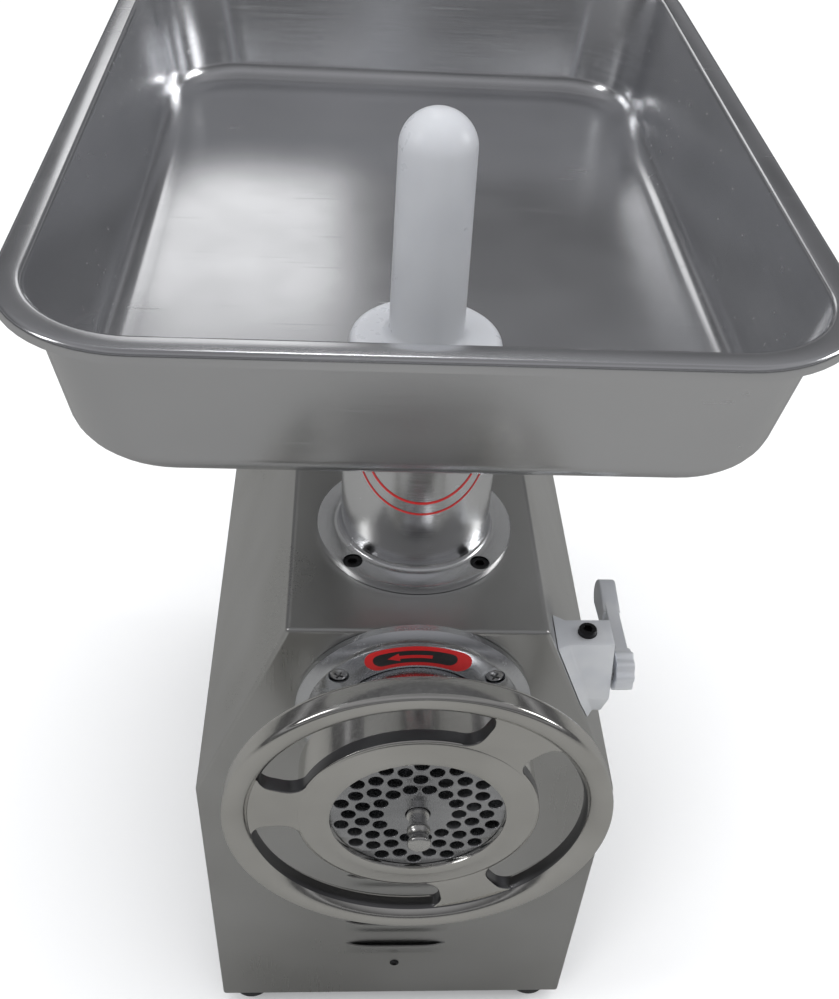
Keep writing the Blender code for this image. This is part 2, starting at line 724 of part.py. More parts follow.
def clamp_block():
    """The cast block on the right shoulder, bored for the clamp's screw."""
    middle = AXIS_HEIGHT + CLAMP_RISE
    gap = CLEAR / math.cos(SLOPE)
    top = middle + CLAMP_BLOCK_UP
    bottom = middle - CLAMP_BLOCK_DOWN
    seat_top = top + 0.004
    seat_bottom = bottom - 0.004
    outline = [
        (shoulder_x(seat_bottom) + gap, seat_bottom),
        (CLAMP_BLOCK_REACH - 0.002, bottom),
        (CLAMP_BLOCK_REACH, bottom + 0.015),
        (CLAMP_BLOCK_REACH - 0.004, top),
        (shoulder_x(top) + 0.004, top),
        (shoulder_x(seat_top) + gap, seat_top),
    ]
    outline = [(x, z - AXIS_HEIGHT) for x, z in outline]
    start = CLAMP_DEPTH - 0.5 * CLAMP_BLOCK_THICKNESS
    block = prism("clamp_block", outline, start, start + CLAMP_BLOCK_THICKNESS, "cast_aluminium")
    centre = (0, FRONT_Y + CLAMP_DEPTH, CLAMP_Z)
    bore = rod("clamp_bore", CLAMP_SCREW_RADIUS + RUN, 0.04, 0.12, None, "X", centre, 20)
    set_x = 0.5 * (shoulder_x(top) + CLAMP_BLOCK_REACH)
    top_z = BASE_Z + top
    set_place = (set_x, FRONT_Y + CLAMP_DEPTH, top_z)
    set_hole = several_rods("set_screw_hole", [set_place], SCREW_HEAD + CLEAR, -0.010, 0.001, "Z")
    cut(block, bore, set_hole)
    profile = [
        (0, 0.0005),
        (0.0020, 0.0005),
        (0.0020, 0.0025),
        (SCREW_HEAD - 0.0005, 0.0025),
        (SCREW_HEAD, 0.0018),
        (SCREW_HEAD, -0.0095),
        (0, -0.0095),
    ]
    lathe("clamp_set_screw", profile, "dark_fastener", "Z", set_place, 16, closed=False)


def lever_outline():
    """A rounded hub and a smaller rounded end, joined by a waisted arm that runs back from the hub."""
    points = []
    for index in range(15):
        angle = math.radians(52 + 256 * index / 14)
        points.append((LEVER_HUB * math.cos(angle), LEVER_HUB * math.sin(angle)))
    for index in range(11):
        angle = math.radians(-125 + 250 * index / 10)
        points.append((LEVER_LENGTH + LEVER_END * math.cos(angle), LEVER_END * math.sin(angle)))
    return points


def clamp():
    """The pad that presses on the barrel's neck, its screw, and the lever on the screw's end."""
    centre = (0, FRONT_Y + CLAMP_DEPTH, CLAMP_Z)
    lowest = max(0.0, CLAMP_RISE - CLAMP_SCREW_RADIUS)
    neck_x = math.sqrt(NECK_RADIUS**2 - lowest**2)
    pad_start = neck_x + CLEAR
    pad_end = pad_start + CLAMP_PAD_LENGTH
    rod("clamp_pad", CLAMP_SCREW_RADIUS, pad_start, pad_end, "brass", "X", centre, 20)
    lever_start = CLAMP_BLOCK_REACH + RUN
    lever_end = lever_start + LEVER_THICKNESS
    screw_end = lever_end - 0.002
    rod("clamp_screw", CLAMP_SCREW_RADIUS, pad_end + CLEAR, screw_end, "tool_steel", "X", centre, 20)
    shape = bmesh.new()
    outline = lever_outline()
    corners = [shape.verts.new((lever_start, y, z)) for y, z in outline]
    face = shape.faces.new(corners)
    grown = bmesh.ops.extrude_face_region(shape, geom=[face])
    moved = [v for v in grown["geom"] if isinstance(v, bmesh.types.BMVert)]
    bmesh.ops.translate(shape, verts=moved, vec=(LEVER_THICKNESS, 0, 0))
    bmesh.ops.recalc_face_normals(shape, faces=shape.faces)
    lever = add_bmesh("clamp_lever", shape, "cast_aluminium", centre)
    hole = rod(
        "lever_hole",
        CLAMP_SCREW_RADIUS + CLEAR,
        lever_start - 0.01,
        screw_end + CLEAR,
        None,
        "X",
        centre,
        20,
    )
    cut(lever, hole)


# Grinding head


def grinder_barrel():
    """The removable barrel: neck, inlet on top, and the bell that takes knife and plate."""
    bell_bore = BELL_RADIUS - BELL_WALL
    profile = [
        (bell_bore, BARREL_FRONT),
        (BELL_RADIUS, BARREL_FRONT),
        (BELL_RADIUS, BELL_BACK),
        (NECK_RADIUS, BELL_BACK + 0.012),
        (NECK_RADIUS, BARREL_BACK),
        (JOURNAL_RADIUS + CLEAR, BARREL_BACK),
        (JOURNAL_RADIUS + CLEAR, BARREL_WALL_FRONT),
        (BARREL_BORE, BARREL_WALL_FRONT),
        (BARREL_BORE, AUGER_FRONT + 0.008),
        (bell_bore, AUGER_FRONT),
    ]
    barrel = lathe("grinder_barrel", profile, "machined_aluminium")
    centre = (0, FRONT_Y + FEED_DEPTH, AXIS_Z)
    inlet = rod("barrel_inlet", INLET_RADIUS, 0.010, 2 * NECK_RADIUS, None, "Z", centre, 32)
    cut(barrel, inlet)


def auger():
    """The worm: core, helical flight, square for the knife in front and square tang behind."""
    core = [
        (0, AUGER_FRONT),
        (AUGER_CORE, AUGER_FRONT),
        (AUGER_CORE, AUGER_SHOULDER - 0.004),
        (AUGER_CORE + 0.006, AUGER_SHOULDER - 0.003),
        (AUGER_CORE + 0.006, AUGER_SHOULDER),
        (JOURNAL_RADIUS, AUGER_SHOULDER),
        (JOURNAL_RADIUS, BARREL_BACK),
        (0, BARREL_BACK),
    ]
    worm = lathe("auger", core, "tool_steel", closed=False, steps=24)
    start = AUGER_FRONT + 0.006
    end = AUGER_SHOULDER - 0.008
    turns = (end - start) / AUGER_PITCH
    inner = AUGER_CORE - 0.002
    section = [
        (inner, -0.5 * AUGER_FLIGHT_ROOT),
        (inner, 0.5 * AUGER_FLIGHT_ROOT),
        (AUGER_RADIUS, 0.5 * AUGER_FLIGHT_TIP),
        (AUGER_RADIUS, -0.5 * AUGER_FLIGHT_TIP),
    ]
    shape = bmesh.new()
    face = shape.faces.new([shape.verts.new((x, 0, -start + z)) for x, z in section])
    bmesh.ops.spin(
        shape,
        geom=[face] + list(face.edges) + list(face.verts),
        axis=(0, 0, 1),
        cent=(0, 0, 0),
        dvec=(0, 0, -(end - start) / round(16 * turns)),
        angle=2 * math.pi * turns,
        steps=round(16 * turns),
        use_duplicate=False,
    )
    bmesh.ops.recalc_face_normals(shape, faces=shape.faces)
    flight = add_bmesh("auger_flight", shape, None, (0, FRONT_Y, AXIS_Z), TURNS["Y"])
    half = 0.5 * AUGER_TANG
    tang = box(
        "auger_tang",
        (-half, FRONT_Y + BARREL_BACK - 0.002, AXIS_Z - half),
        (half, FRONT_Y + BARREL_BACK + AUGER_TANG_LENGTH, AXIS_Z + half),
        None,
    )
    half = 0.5 * KNIFE_SQUARE
    square = box(
        "auger_knife_square",
        (-half, FRONT_Y + KNIFE_FRONT, AXIS_Z - half),
        (half, FRONT_Y + AUGER_FRONT + 0.002, AXIS_Z + half),
        None,
    )
    thread = rod(
        "auger_pin_hole", PIN_RADIUS - 0.001 + CLEAR, KNIFE_FRONT - 0.01, AUGER_FRONT + 0.016, None, steps=16
    )
    join(worm, flight, tang, square)
    cut(worm, thread)


def auger_washer():
    start = BARREL_WALL_FRONT - CLEAR - WASHER_THICKNESS
    end = BARREL_WALL_FRONT - CLEAR
    sleeve("auger_washer", JOURNAL_RADIUS + CLEAR, AUGER_CORE + 0.007, start, end, "white_plastic")


def auger_pin():
    """The stud that runs through the plate's middle and ends in a turned nose."""
    plate_out = PLATE_FRONT - 0.001
    profile = [
        (0, PIN_TIP),
        (PIN_RADIUS - 0.0004, PIN_TIP),
        (PIN_RADIUS, PIN_TIP + 0.0005),
        (PIN_RADIUS, PIN_TIP + 0.0020),
        (PIN_RADIUS - 0.0008, PIN_TIP + 0.0045),
        (PIN_RADIUS, PIN_TIP + 0.0070),
        (PIN_RADIUS, PIN_TIP + 0.0085),
        (PIN_RADIUS - 0.0012, PIN_TIP + 0.0092),
        (PIN_RADIUS - 0.0012, plate_out),
        (PIN_RADIUS, plate_out),
        (PIN_RADIUS, PLATE_BACK),
        (PIN_RADIUS - 0.001, PLATE_BACK),
        (PIN_RADIUS - 0.001, AUGER_FRONT + 0.014),
        (0, AUGER_FRONT + 0.014),
    ]
    lathe("auger_pin", profile, "polished_steel", steps=16, closed=False)


def blade_outline(hub, tip, count, root_angle, tip_angle, lean):
    """A hub with arms: each arm runs from the hub out to the tip circle and leans to one side."""
    points = []
    for index in range(count):
        middle = 360.0 * index / count
        points.append(around(hub, middle - root_angle))
        points.append(around(tip, middle - tip_angle + lean))
        points.append(around(tip, middle + lean))
        points.append(around(tip, middle + tip_angle + lean))
        points.append(around(hub, middle + root_angle))
    return points


def square_outline(width):
    half = 0.5 * width
    return [(-half, -half), (half, -half), (half, half), (-half, half)]


def knife():
    edge = blade_outline(0.0145, KNIFE_RADIUS, KNIFE_BLADES, 24, 6, 12)
    hole = square_outline(KNIFE_SQUARE + 2 * CLEAR)
    flat_piece("knife", [edge, hole], KNIFE_FRONT, KNIFE_BACK, "tool_steel")


def plate_hole_rings():
    """Radii of the rings of holes: each ring is half a step round, one pitch from the last."""
    half_step = math.pi / PLATE_HOLES_ROUND
    radii = [PLATE_FIRST_RING]
    for _ in range(PLATE_RINGS - 1):
        last = radii[-1]
        across = last * math.sin(half_step)
        radii.append(last * math.cos(half_step) + math.sqrt(PLATE_HOLE_PITCH**2 - across**2))
    return radii


def cutting_plate():
    """The perforated disc. Its notch sits on the key in the barrel's bell."""
    edge = circle(PLATE_RADIUS, 32)
    holes = [circle(PIN_RADIUS + CLEAR, 16)]
    for ring, radius in enumerate(plate_hole_rings()):
        for index in range(PLATE_HOLES_ROUND):
            angle = 2 * math.pi * (index + 0.5 * (ring % 2)) / PLATE_HOLES_ROUND
            centre = (radius * math.cos(angle), radius * math.sin(angle))
            holes.append(circle(PLATE_HOLE_RADIUS, 6, centre, angle))
    flat_piece("cutting_plate", [edge] + holes, PLATE_FRONT, PLATE_BACK, "tool_steel")


def ring_slot(name, first, last):
    """A cutter for one finger slot: an arc between hub and rim, with rounded corners."""
    inner = RING_HUB + 0.0006
    outer = RING_RADIUS - RING_RIM_WIDTH + 0.0006
    steps = 8
    angles = [first + (last - first) * i / steps for i in range(steps + 1)]
    outline = [around(outer, a) for a in angles] + [around(inner, a) for a in reversed(angles)]
    shape = bmesh.new()
    start = -RING_FORWARD - 0.02
    end = -RING_FORWARD + RING_HUB_LENGTH
    face = shape.faces.new([shape.verts.new((x, z, -start)) for x, z in outline])
    grown = bmesh.ops.extrude_face_region(shape, geom=[face])
    moved = [v for v in grown["geom"] if isinstance(v, bmesh.types.BMVert)]
    bmesh.ops.translate(shape, verts=moved, vec=(0, 0, start - end))
    bmesh.ops.recalc_face_normals(shape, faces=shape.faces)
    tips = [Vector(outline[i]) for i in (0, steps, steps + 1, 2 * steps + 1)]
    upright = []
    for edge in shape.edges:
        one, two = (v.co for v in edge.verts)
        if (one.xy - two.xy).length < 1e-6 and min((one.xy - tip).length for tip in tips) < 1e-6:
            upright.append(edge)
    bmesh.ops.bevel(
        shape,
        geom=upright,
        offset=RING_SLOT_CORNER,
        offset_type="OFFSET",
        segments=3,
        profile=0.5,
        affect="EDGES",
        clamp_overlap=True,
        material=-1,
    )
    return add_bmesh(name, shape, None, (0, FRONT_Y, AXIS_Z), TURNS["Y"])


def ring_nut():
    """The handwheel: threaded hub, three spokes and a rounded rim."""
    face = -RING_FORWARD
    web_front = face + RING_WEB_STEP
    web_back = web_front + RING_WEB_THICKNESS
    rim_front = face - RING_RIM_PROUD
    rim_back = rim_front + RING_RIM_THICKNESS
    rim_inner = RING_RADIUS - RING_RIM_WIDTH
    hub_back = face + RING_HUB_LENGTH
    profile = [
        (RING_APERTURE, face),
        (RING_HUB - 0.001, face),
        (RING_HUB, web_front),
        (rim_inner, rim_front + 0.0022),
        (rim_inner + 0.0030, rim_front + 0.0006),
        (rim_inner + 0.0060, rim_front),
        (RING_RADIUS, rim_front + 0.0040),
        (RING_RADIUS, rim_back - 0.0040),
        (rim_inner + 0.0060, rim_back),
        (rim_inner, web_back),
        (RING_HUB, web_back),
        (RING_HUB, hub_back),
        (RING_BORE, hub_back),
        (RING_BORE, face + RING_LIP),
        (RING_APERTURE, face + RING_LIP),
    ]
    ring = lathe("ring_nut", profile, "polished_steel", steps=40)
    half = 0.5 * RING_SPOKE_ANGLE
    spokes = list(RING_SPOKES) + [RING_SPOKES[0] + 360]
    for index in range(len(RING_SPOKES)):
        slot = ring_slot(f"ring_slot_{index + 1}", spokes[index] + half, spokes[index + 1] - half)
        cut(ring, slot)


# Gear train


def involute(angle):
    return math.tan(angle) - angle


def gear_outline(teeth, module, first_tooth):
    """A spur gear's outline, with the middle of one tooth at an angle in degrees."""
    pitch_radius = 0.5 * module * teeth
    base = pitch_radius * math.cos(PRESSURE_ANGLE)
    root = pitch_radius - DEDENDUM * module
    tip = pitch_radius + ADDENDUM * module
    half = 0.5 * math.pi / teeth - 0.5 * BACKLASH * module / pitch_radius + involute(PRESSURE_ANGLE)
    flank = []
    for share in (0.0, 0.55, 1.0):
        radius = root + share * (tip - root)
        if radius > base:
            flank.append((radius, half - involute(math.acos(base / radius))))
        else:
            flank.append((radius, half))
    points = []
    for tooth in range(teeth):
        middle = math.radians(first_tooth) + 2 * math.pi * tooth / teeth
        for radius, width in flank:
            points.append((radius * math.cos(middle - width), radius * math.sin(middle - width)))
        for radius, width in reversed(flank):
            points.append((radius * math.cos(middle + width), radius * math.sin(middle + width)))
    return points


def gears():
    """Each followed tooth points down, and each driving gap points up, so the pairs are in mesh."""
    up_gap = 180.0
    output = gear_outline(OUTPUT_TEETH, OUTPUT_MODULE, -90)
    bore = circle(DRIVE_SHAFT_STEP + CLEAR, 24)
    flat_piece("drive_gear", [output, bore], OUTPUT_FRONT, OUTPUT_BACK, "gear_steel")
    place = (0, FRONT_Y, IDLER_Z)
    wheel = gear_outline(IDLER_TEETH, MOTOR_MODULE, -90)
    bore = circle(IDLER_SHAFT_RADIUS + CLEAR, 20)
    flat_piece("idler_gear", [wheel, bore], IDLER_FRONT, IDLER_BACK, "gear_steel", place)
    pinion = gear_outline(IDLER_PINION_TEETH, OUTPUT_MODULE, 90 + up_gap / IDLER_PINION_TEETH)
    teeth = prism("idler_pinion_teeth", pinion, OUTPUT_FRONT, OUTPUT_BACK, None, place)
    start = CAVITY_FRONT - BEARING_WIDTH
    end = COVER_FRONT + BEARING_WIDTH
    shaft = rod("idler_pinion_shaft", IDLER_SHAFT_RADIUS, start, end, "gear_steel", "Y", place, 20)
    join(shaft, teeth)
    place = (0, FRONT_Y, MOTOR_Z)
    pinion = gear_outline(MOTOR_PINION_TEETH, MOTOR_MODULE, 90 + up_gap / MOTOR_PINION_TEETH)
    bore = circle(MOTOR_SHAFT_NOSE + CLEAR, 16)
    flat_piece("motor_pinion", [pinion, bore], IDLER_FRONT, IDLER_BACK, "gear_steel", place)


def drive_shaft():
    """The output shaft: its square socket in front takes the auger's tang."""
    front = BARREL_BACK + 0.0015
    step = CAVITY_FRONT + 0.001
    tail = OUTPUT_BACK + 0.002
    end = COVER_FRONT + BEARING_WIDTH
    profile = [
        (0, front),
        (DRIVE_SHAFT_RADIUS, front),
        (DRIVE_SHAFT_RADIUS, step),
        (DRIVE_SHAFT_STEP, step),
        (DRIVE_SHAFT_STEP, tail),
        (DRIVE_SHAFT_TAIL, tail),
        (DRIVE_SHAFT_TAIL, end),
        (0, end),
    ]
    shaft = lathe("drive_shaft", profile, "gear_steel", steps=32, closed=False)
    half = 0.5 * AUGER_TANG + CLEAR
    socket = box(
        "drive_socket",
        (-half, FRONT_Y + front - 0.01, AXIS_Z - half),
        (half, FRONT_Y + BARREL_BACK + AUGER_TANG_LENGTH + 0.002, AXIS_Z + half),
        None,
    )
    cut(shaft, socket)


def bearing(name, bore, radius, start, z):
    sleeve(name, bore + CLEAR, radius, start, start + BEARING_WIDTH, "bearing_steel", "Y", (0, FRONT_Y, z), 24)


def bearings():
    front = CAVITY_FRONT - BEARING_WIDTH
    bearing("drive_bearing_front", DRIVE_SHAFT_RADIUS, DRIVE_BEARING, front, AXIS_Z)
    bearing("drive_bearing_rear", DRIVE_SHAFT_TAIL, TAIL_BEARING, COVER_FRONT, AXIS_Z)
    bearing("idler_bearing_front", IDLER_SHAFT_RADIUS, IDLER_BEARING, front, IDLER_Z)
    bearing("idler_bearing_rear", IDLER_SHAFT_RADIUS, IDLER_BEARING, COVER_FRONT, IDLER_Z)
    shield = SHIELD_BACK - BEARING_WIDTH
    bearing("motor_bearing_front", MOTOR_SHAFT_RADIUS, IDLER_BEARING, shield, MOTOR_Z)
    rear = MOTOR_BACK - MOTOR_SHELL - BEARING_WIDTH
    bearing("motor_bearing_rear", MOTOR_SHAFT_RADIUS, IDLER_BEARING, rear - CLEAR, MOTOR_Z)
    start = GEARBOX_FRONT + CLEAR
    end = front - CLEAR
    sleeve("shaft_seal", DRIVE_SHAFT_RADIUS + CLEAR, DRIVE_SHAFT_RADIUS + 0.006, start, end, "black_rubber")


def stadium(radius):
    """A long round-ended outline about the gear axes, down to the motor's."""
    low = MOTOR_Z + 0.010 - AXIS_Z
    upper = [around(radius, 180 * i / 14) for i in range(15)]
    lower = [around(radius, 180 + 180 * i / 14) for i in range(15)]
    return upper + [(x, z + low) for x, z in lower]


def gearbox():
    """The cast case, open behind, and its cover, both pocketed for the bearings."""
    case = prism("gearbox_case", stadium(GEARBOX_RADIUS), GEARBOX_FRONT, CAVITY_BACK, "cast_aluminium")
    inside = stadium(GEARBOX_RADIUS - GEARBOX_SHELL)
    cavity = prism("gearbox_cavity", inside, CAVITY_FRONT, CAVITY_BACK + 0.01, None)
    pocket_front = CAVITY_FRONT - BEARING_WIDTH - CLEAR
    pocket_end = CAVITY_FRONT + 0.001
    drive = rod("case_drive_pocket", DRIVE_BEARING + CLEAR, pocket_front, pocket_end, None)
    through = rod(
        "case_shaft_hole", DRIVE_SHAFT_RADIUS + 0.006 + CLEAR, GEARBOX_FRONT - 0.01, pocket_end, None
    )
    idler_place = (0, FRONT_Y, IDLER_Z)
    idler = rod(
        "case_idler_pocket", IDLER_BEARING + CLEAR, pocket_front, pocket_end, None, "Y", idler_place
    )
    cut(case, cavity, drive, through, idler)
    outline = stadium(GEARBOX_RADIUS)
    cover = prism("gearbox_cover", outline, COVER_FRONT, COVER_BACK, "cast_aluminium")
    pocket_front = COVER_FRONT - 0.001
    pocket_end = COVER_FRONT + BEARING_WIDTH + CLEAR
    tail = rod("cover_drive_pocket", TAIL_BEARING + CLEAR, pocket_front, pocket_end, None)
    idler = rod(
        "cover_idler_pocket", IDLER_BEARING + CLEAR, pocket_front, pocket_end, None, "Y", idler_place
    )
    motor_hole = rod(
        "cover_motor_hole",
        MOTOR_SHAFT_RADIUS + 0.0015,
        pocket_front,
        COVER_BACK + 0.001,
        None,
        "Y",
        (0, FRONT_Y, MOTOR_Z),
    )
    cut(cover, tail, idler, motor_hole)


# Motor


def motor():
    """End shield, case, stator, rotor, stepped shaft and cooling fan."""
    place = (0, FRONT_Y, MOTOR_Z)
    pocket = SHIELD_BACK - BEARING_WIDTH - CLEAR
    shaft_hole = MOTOR_SHAFT_RADIUS + 0.0015
    shield = [
        (shaft_hole, SHIELD_FRONT),
        (MOTOR_RADIUS, SHIELD_FRONT),
        (MOTOR_RADIUS, SHIELD_BACK),
        (IDLER_BEARING + CLEAR, SHIELD_BACK),
        (IDLER_BEARING + CLEAR, pocket),
        (shaft_hole, pocket),
    ]
    lathe("motor_end_shield", shield, "cast_aluminium", "Y", place, 32)
    inner = MOTOR_RADIUS - MOTOR_SHELL
    wall = MOTOR_BACK - MOTOR_SHELL
    boss = wall - BEARING_WIDTH - 2 * CLEAR
    case = [
        (inner, MOTOR_FRONT),
        (MOTOR_RADIUS, MOTOR_FRONT),
        (MOTOR_RADIUS, MOTOR_BACK),
        (shaft_hole, MOTOR_BACK),
        (shaft_hole, wall),
        (IDLER_BEARING + CLEAR, wall),
        (IDLER_BEARING + CLEAR, boss),
        (IDLER_BEARING + 0.004, boss),
        (IDLER_BEARING + 0.004, wall),
        (inner, wall),
    ]
    lathe("motor_case", case, "motor_paint", "Y", place, 32)
    stator_bore = ROTOR_RADIUS + RUN
    sleeve(
        "motor_stator", stator_bore, inner - CLEAR, ROTOR_FRONT, ROTOR_BACK, "copper_winding", "Y", place
    )
    rotor_bore = MOTOR_SHAFT_RADIUS + CLEAR
    sleeve("motor_rotor", rotor_bore, ROTOR_RADIUS, ROTOR_FRONT, ROTOR_BACK, "gear_steel", "Y", place)
    shaft = [
        (0, IDLER_FRONT - 0.002),
        (MOTOR_SHAFT_NOSE, IDLER_FRONT - 0.002),
        (MOTOR_SHAFT_NOSE, IDLER_BACK + 0.001),
        (MOTOR_SHAFT_RADIUS, IDLER_BACK + 0.001),
        (MOTOR_SHAFT_RADIUS, FAN_FRONT + FAN_WIDTH + 0.002),
        (0, FAN_FRONT + FAN_WIDTH + 0.002),
    ]
    lathe("motor_shaft", shaft, "gear_steel", "Y", place, 20, closed=False)
    blades = blade_outline(0.014, FAN_RADIUS, FAN_BLADES, 16, 2, 8)
    bore = circle(MOTOR_SHAFT_RADIUS + CLEAR, 20)
    fan_back = FAN_FRONT + FAN_WIDTH
    flat_piece("motor_fan", [blades, bore], FAN_FRONT, fan_back, "black_plastic", place)


def motor_bracket():
    """A bent strap stand between the base plate and the motor's case."""
    half = 0.5 * BRACKET_WIDTH
    middle = 0.5 * (MOTOR_FRONT + MOTOR_BACK)
    start = middle - 0.5 * BRACKET_LENGTH
    floor = BASE_Z + BASE_THICKNESS + CLEAR
    low = (-half, FRONT_Y + start, floor)
    high = (half, FRONT_Y + start + BRACKET_LENGTH, MOTOR_Z - 0.5 * MOTOR_RADIUS)
    stand = box("motor_bracket", low, high, "satin_steel")
    inner = half - BRACKET_SHEET
    window = box(
        "bracket_window",
        (-inner, low[1] - 0.01, floor + BRACKET_SHEET),
        (inner, high[1] + 0.01, MOTOR_Z - MOTOR_RADIUS - BRACKET_SHEET),
        None,
    )
    saddle = rod(
        "bracket_saddle",
        MOTOR_RADIUS + CLEAR,
        start - 0.01,
        start + BRACKET_LENGTH + 0.01,
        None,
        "Y",
        (0, FRONT_Y, MOTOR_Z),
    )
    cut(stand, window, saddle)


# Electrical pieces


def run_capacitor():
    x, depth = CAPACITOR_PLACE
    floor = BASE_Z + BASE_THICKNESS + CLEAR
    top = CAPACITOR_LENGTH
    profile = [
        (0, top + 0.006),
        (0.006, top + 0.006),
        (0.006, top),
        (CAPACITOR_RADIUS - 0.002, top),
        (CAPACITOR_RADIUS, top - 0.002),
        (CAPACITOR_RADIUS, 0),
        (0, 0),
    ]
    place = (x, FRONT_Y + depth, floor)
    lathe("run_capacitor", profile, "capacitor_shell", "Z", place, 24, closed=False)


def switch_group():
    """Switch box inside the right side, its plate outside, and the two push buttons."""
    wall = 0.5 * HOUSING_WIDTH
    y = FRONT_Y + SWITCH_DEPTH
    z = BASE_Z + SWITCH_HEIGHT
    width, length, height = SWITCH_BOX
    cap_back = wall - SHEET - 0.002
    face = cap_back - BUTTON_TRAVEL - RUN
    low = (face - width, y - 0.5 * length, z - 0.5 * height)
    switch = box("switch_box", low, (face, y + 0.5 * length, z + 0.5 * height), "black_plastic")
    stem_end = face - 0.012
    hole_end = stem_end - BUTTON_TRAVEL - RUN
    centres = button_centres(0)
    stems = several_rods("switch_stem_holes", centres, BUTTON_STEM + RUN, hole_end, face + 0.01, "X", 16)
    cut(switch, stems)
    thick, length, height = SWITCH_PLATE
    plate_front = wall + CLEAR + thick
    low = (wall + CLEAR, y - 0.5 * length, z - 0.5 * height)
    high = (plate_front, y + 0.5 * length, z + 0.5 * height)
    plate = box("switch_plate", low, high, "black_plastic")
    holes = several_rods(
        "switch_plate_holes", centres, BUTTON_RADIUS + RUN, wall - 0.01, wall + 0.01, "X", 16
    )
    cut(plate, holes)
    cap = plate_front + BUTTON_PROUD
    profile = [
        (0, cap),
        (BUTTON_RADIUS - 0.001, cap),
        (BUTTON_RADIUS, cap - 0.001),
        (BUTTON_RADIUS, cap_back),
        (BUTTON_STEM, cap_back),
        (BUTTON_STEM, stem_end),
        (0, stem_end),
    ]
    for place, name, finish in zip(
        centres, ("start_button", "stop_button"), ("green_plastic", "red_plastic")
    ):
        lathe(name, profile, finish, "X", place, 24, closed=False)


def cord_gland():
    """The clamping gland in the rear panel that a cord would pass through."""
    outside = HOUSING_DEPTH + 2 * CLEAR + SHEET
    profile = [
        (GLAND_BORE, outside - 0.012),
        (GLAND_STEM, outside - 0.012),
        (GLAND_STEM, outside),
        (GLAND_RADIUS, outside),
        (GLAND_RADIUS, outside + 0.006),
        (GLAND_RADIUS - 0.002, outside + GLAND_LENGTH),
        (GLAND_BORE, outside + GLAND_LENGTH),
    ]
    place = (0, FRONT_Y, BASE_Z + GLAND_HEIGHT)
    lathe("cord_gland", profile, "black_plastic", "Y", place, 20)


# Feed tray and pusher


def rounded_rectangle(inset):
    """Corner arcs of the tray's outline, inset from the rim's outer edge. Points are (x, y)."""
    half_width = 0.5 * TRAY_WIDTH - inset
    front = FRONT_Y - TRAY_OVERHANG + inset
    back = FRONT_Y - TRAY_OVERHANG + TRAY_LENGTH - inset
    radius = max(TRAY_CORNER - inset, 0.012)
    corners = [
        (half_width - radius, front + radius, -90),
        (half_width - radius, back - radius, 0),
        (-half_width + radius, back - radius, 90),
        (-half_width + radius, front + radius, 180),
    ]
    points = []
    for x, y, first in corners:
        for index in range(5):
            across, along = around(radius, first + 22.5 * index)
            points.append((x + across, y + along))
    return points


def feed_tray():
    """The lift-off pan, pressed from sheet, with a collar that drops into the feed tube."""
    floor = TRAY_FLOOR_Z
    top = floor + TRAY_DEPTH
    foot = TRAY_RIM + TRAY_DRAFT
    levels = [
        (0, top - TRAY_LIP),
        (0, top - 0.0015),
        (0.0015, top),
        (TRAY_RIM - 0.002, top),
        (TRAY_RIM, top - 0.003),
        (foot, floor + TRAY_FILLET),
        (foot + 0.3 * TRAY_FILLET, floor + 0.3 * TRAY_FILLET),
        (foot + TRAY_FILLET, floor),
    ]
    shape = bmesh.new()
    rings = []
    for inset, z in levels:
        rings.append([shape.verts.new((x, y, z)) for x, y in rounded_rectangle(inset)])
    for outer, inner in zip(rings, rings[1:]):
        for i in range(len(outer)):
            shape.faces.new((outer[i - 1], outer[i], inner[i], inner[i - 1]))
    shape.faces.new(rings[-1])
    tray = add_bmesh("feed_tray", shape, "tray_steel")
    sheet = tray.modifiers.new("sheet", "SOLIDIFY")
    sheet.thickness = TRAY_SHEET
    sheet.offset = -1
    sheet.use_even_offset = True
    centre = (0, FRONT_Y + FEED_DEPTH, floor)
    seat = -TRAY_SHEET
    mouth = rod("tray_mouth", COLLAR_BORE, -2 * COLLAR_LENGTH, COLLAR_LENGTH, None, "Z", centre, 32)
    collar = rod("tray_collar", COLLAR_RADIUS, seat - COLLAR_LENGTH, COLLAR_RISE, None, "Z", centre, 32)
    join(tray, collar)
    cut(tray, mouth)


def pusher():
    """Handle with a domed top, a disc that stops on the tray's collar, and the plunger below it."""
    height = PUSHER_HEIGHT
    dome = PUSHER_HANDLE - 0.0015
    disc = PUSHER_DISC_THICKNESS
    profile = [(0, height)]
    for index in range(1, 5):
        across, along = around(dome, 90 - 22.5 * index)
        profile.append((across, height - dome + along))
    profile += [
        (PUSHER_HANDLE, disc + 0.004),
        (PUSHER_HANDLE + 0.002, disc + 0.001),
        (PUSHER_DISC - 0.003, disc - 0.001),
        (PUSHER_DISC, disc - 0.004),
        (PUSHER_DISC, 0.002),
        (PUSHER_DISC - 0.0008, CLEAR),
        (PLUNGER_RADIUS, CLEAR),
        (PLUNGER_RADIUS, -PUSHER_PLUNGER_LENGTH + 0.002),
        (PLUNGER_RADIUS - 0.002, -PUSHER_PLUNGER_LENGTH),
        (0, -PUSHER_PLUNGER_LENGTH),
    ]
    place = (0, FRONT_Y + FEED_DEPTH, TRAY_FLOOR_Z + COLLAR_RISE)
    lathe("pusher", profile, "white_plastic", "Z", place, 28, closed=False)


body_shell()
rear_panel()
base_plate()
feet()
front_panel_screw()
feed_tube()
head_socket()
clamp_block()
clamp()
grinder_barrel()
auger()
auger_washer()
auger_pin()
knife()
cutting_plate()
ring_nut()
gears()
drive_shaft()
bearings()
gearbox()
motor()
motor_bracket()
run_capacitor()
switch_group()
cord_gland()
feed_tray()
pusher()
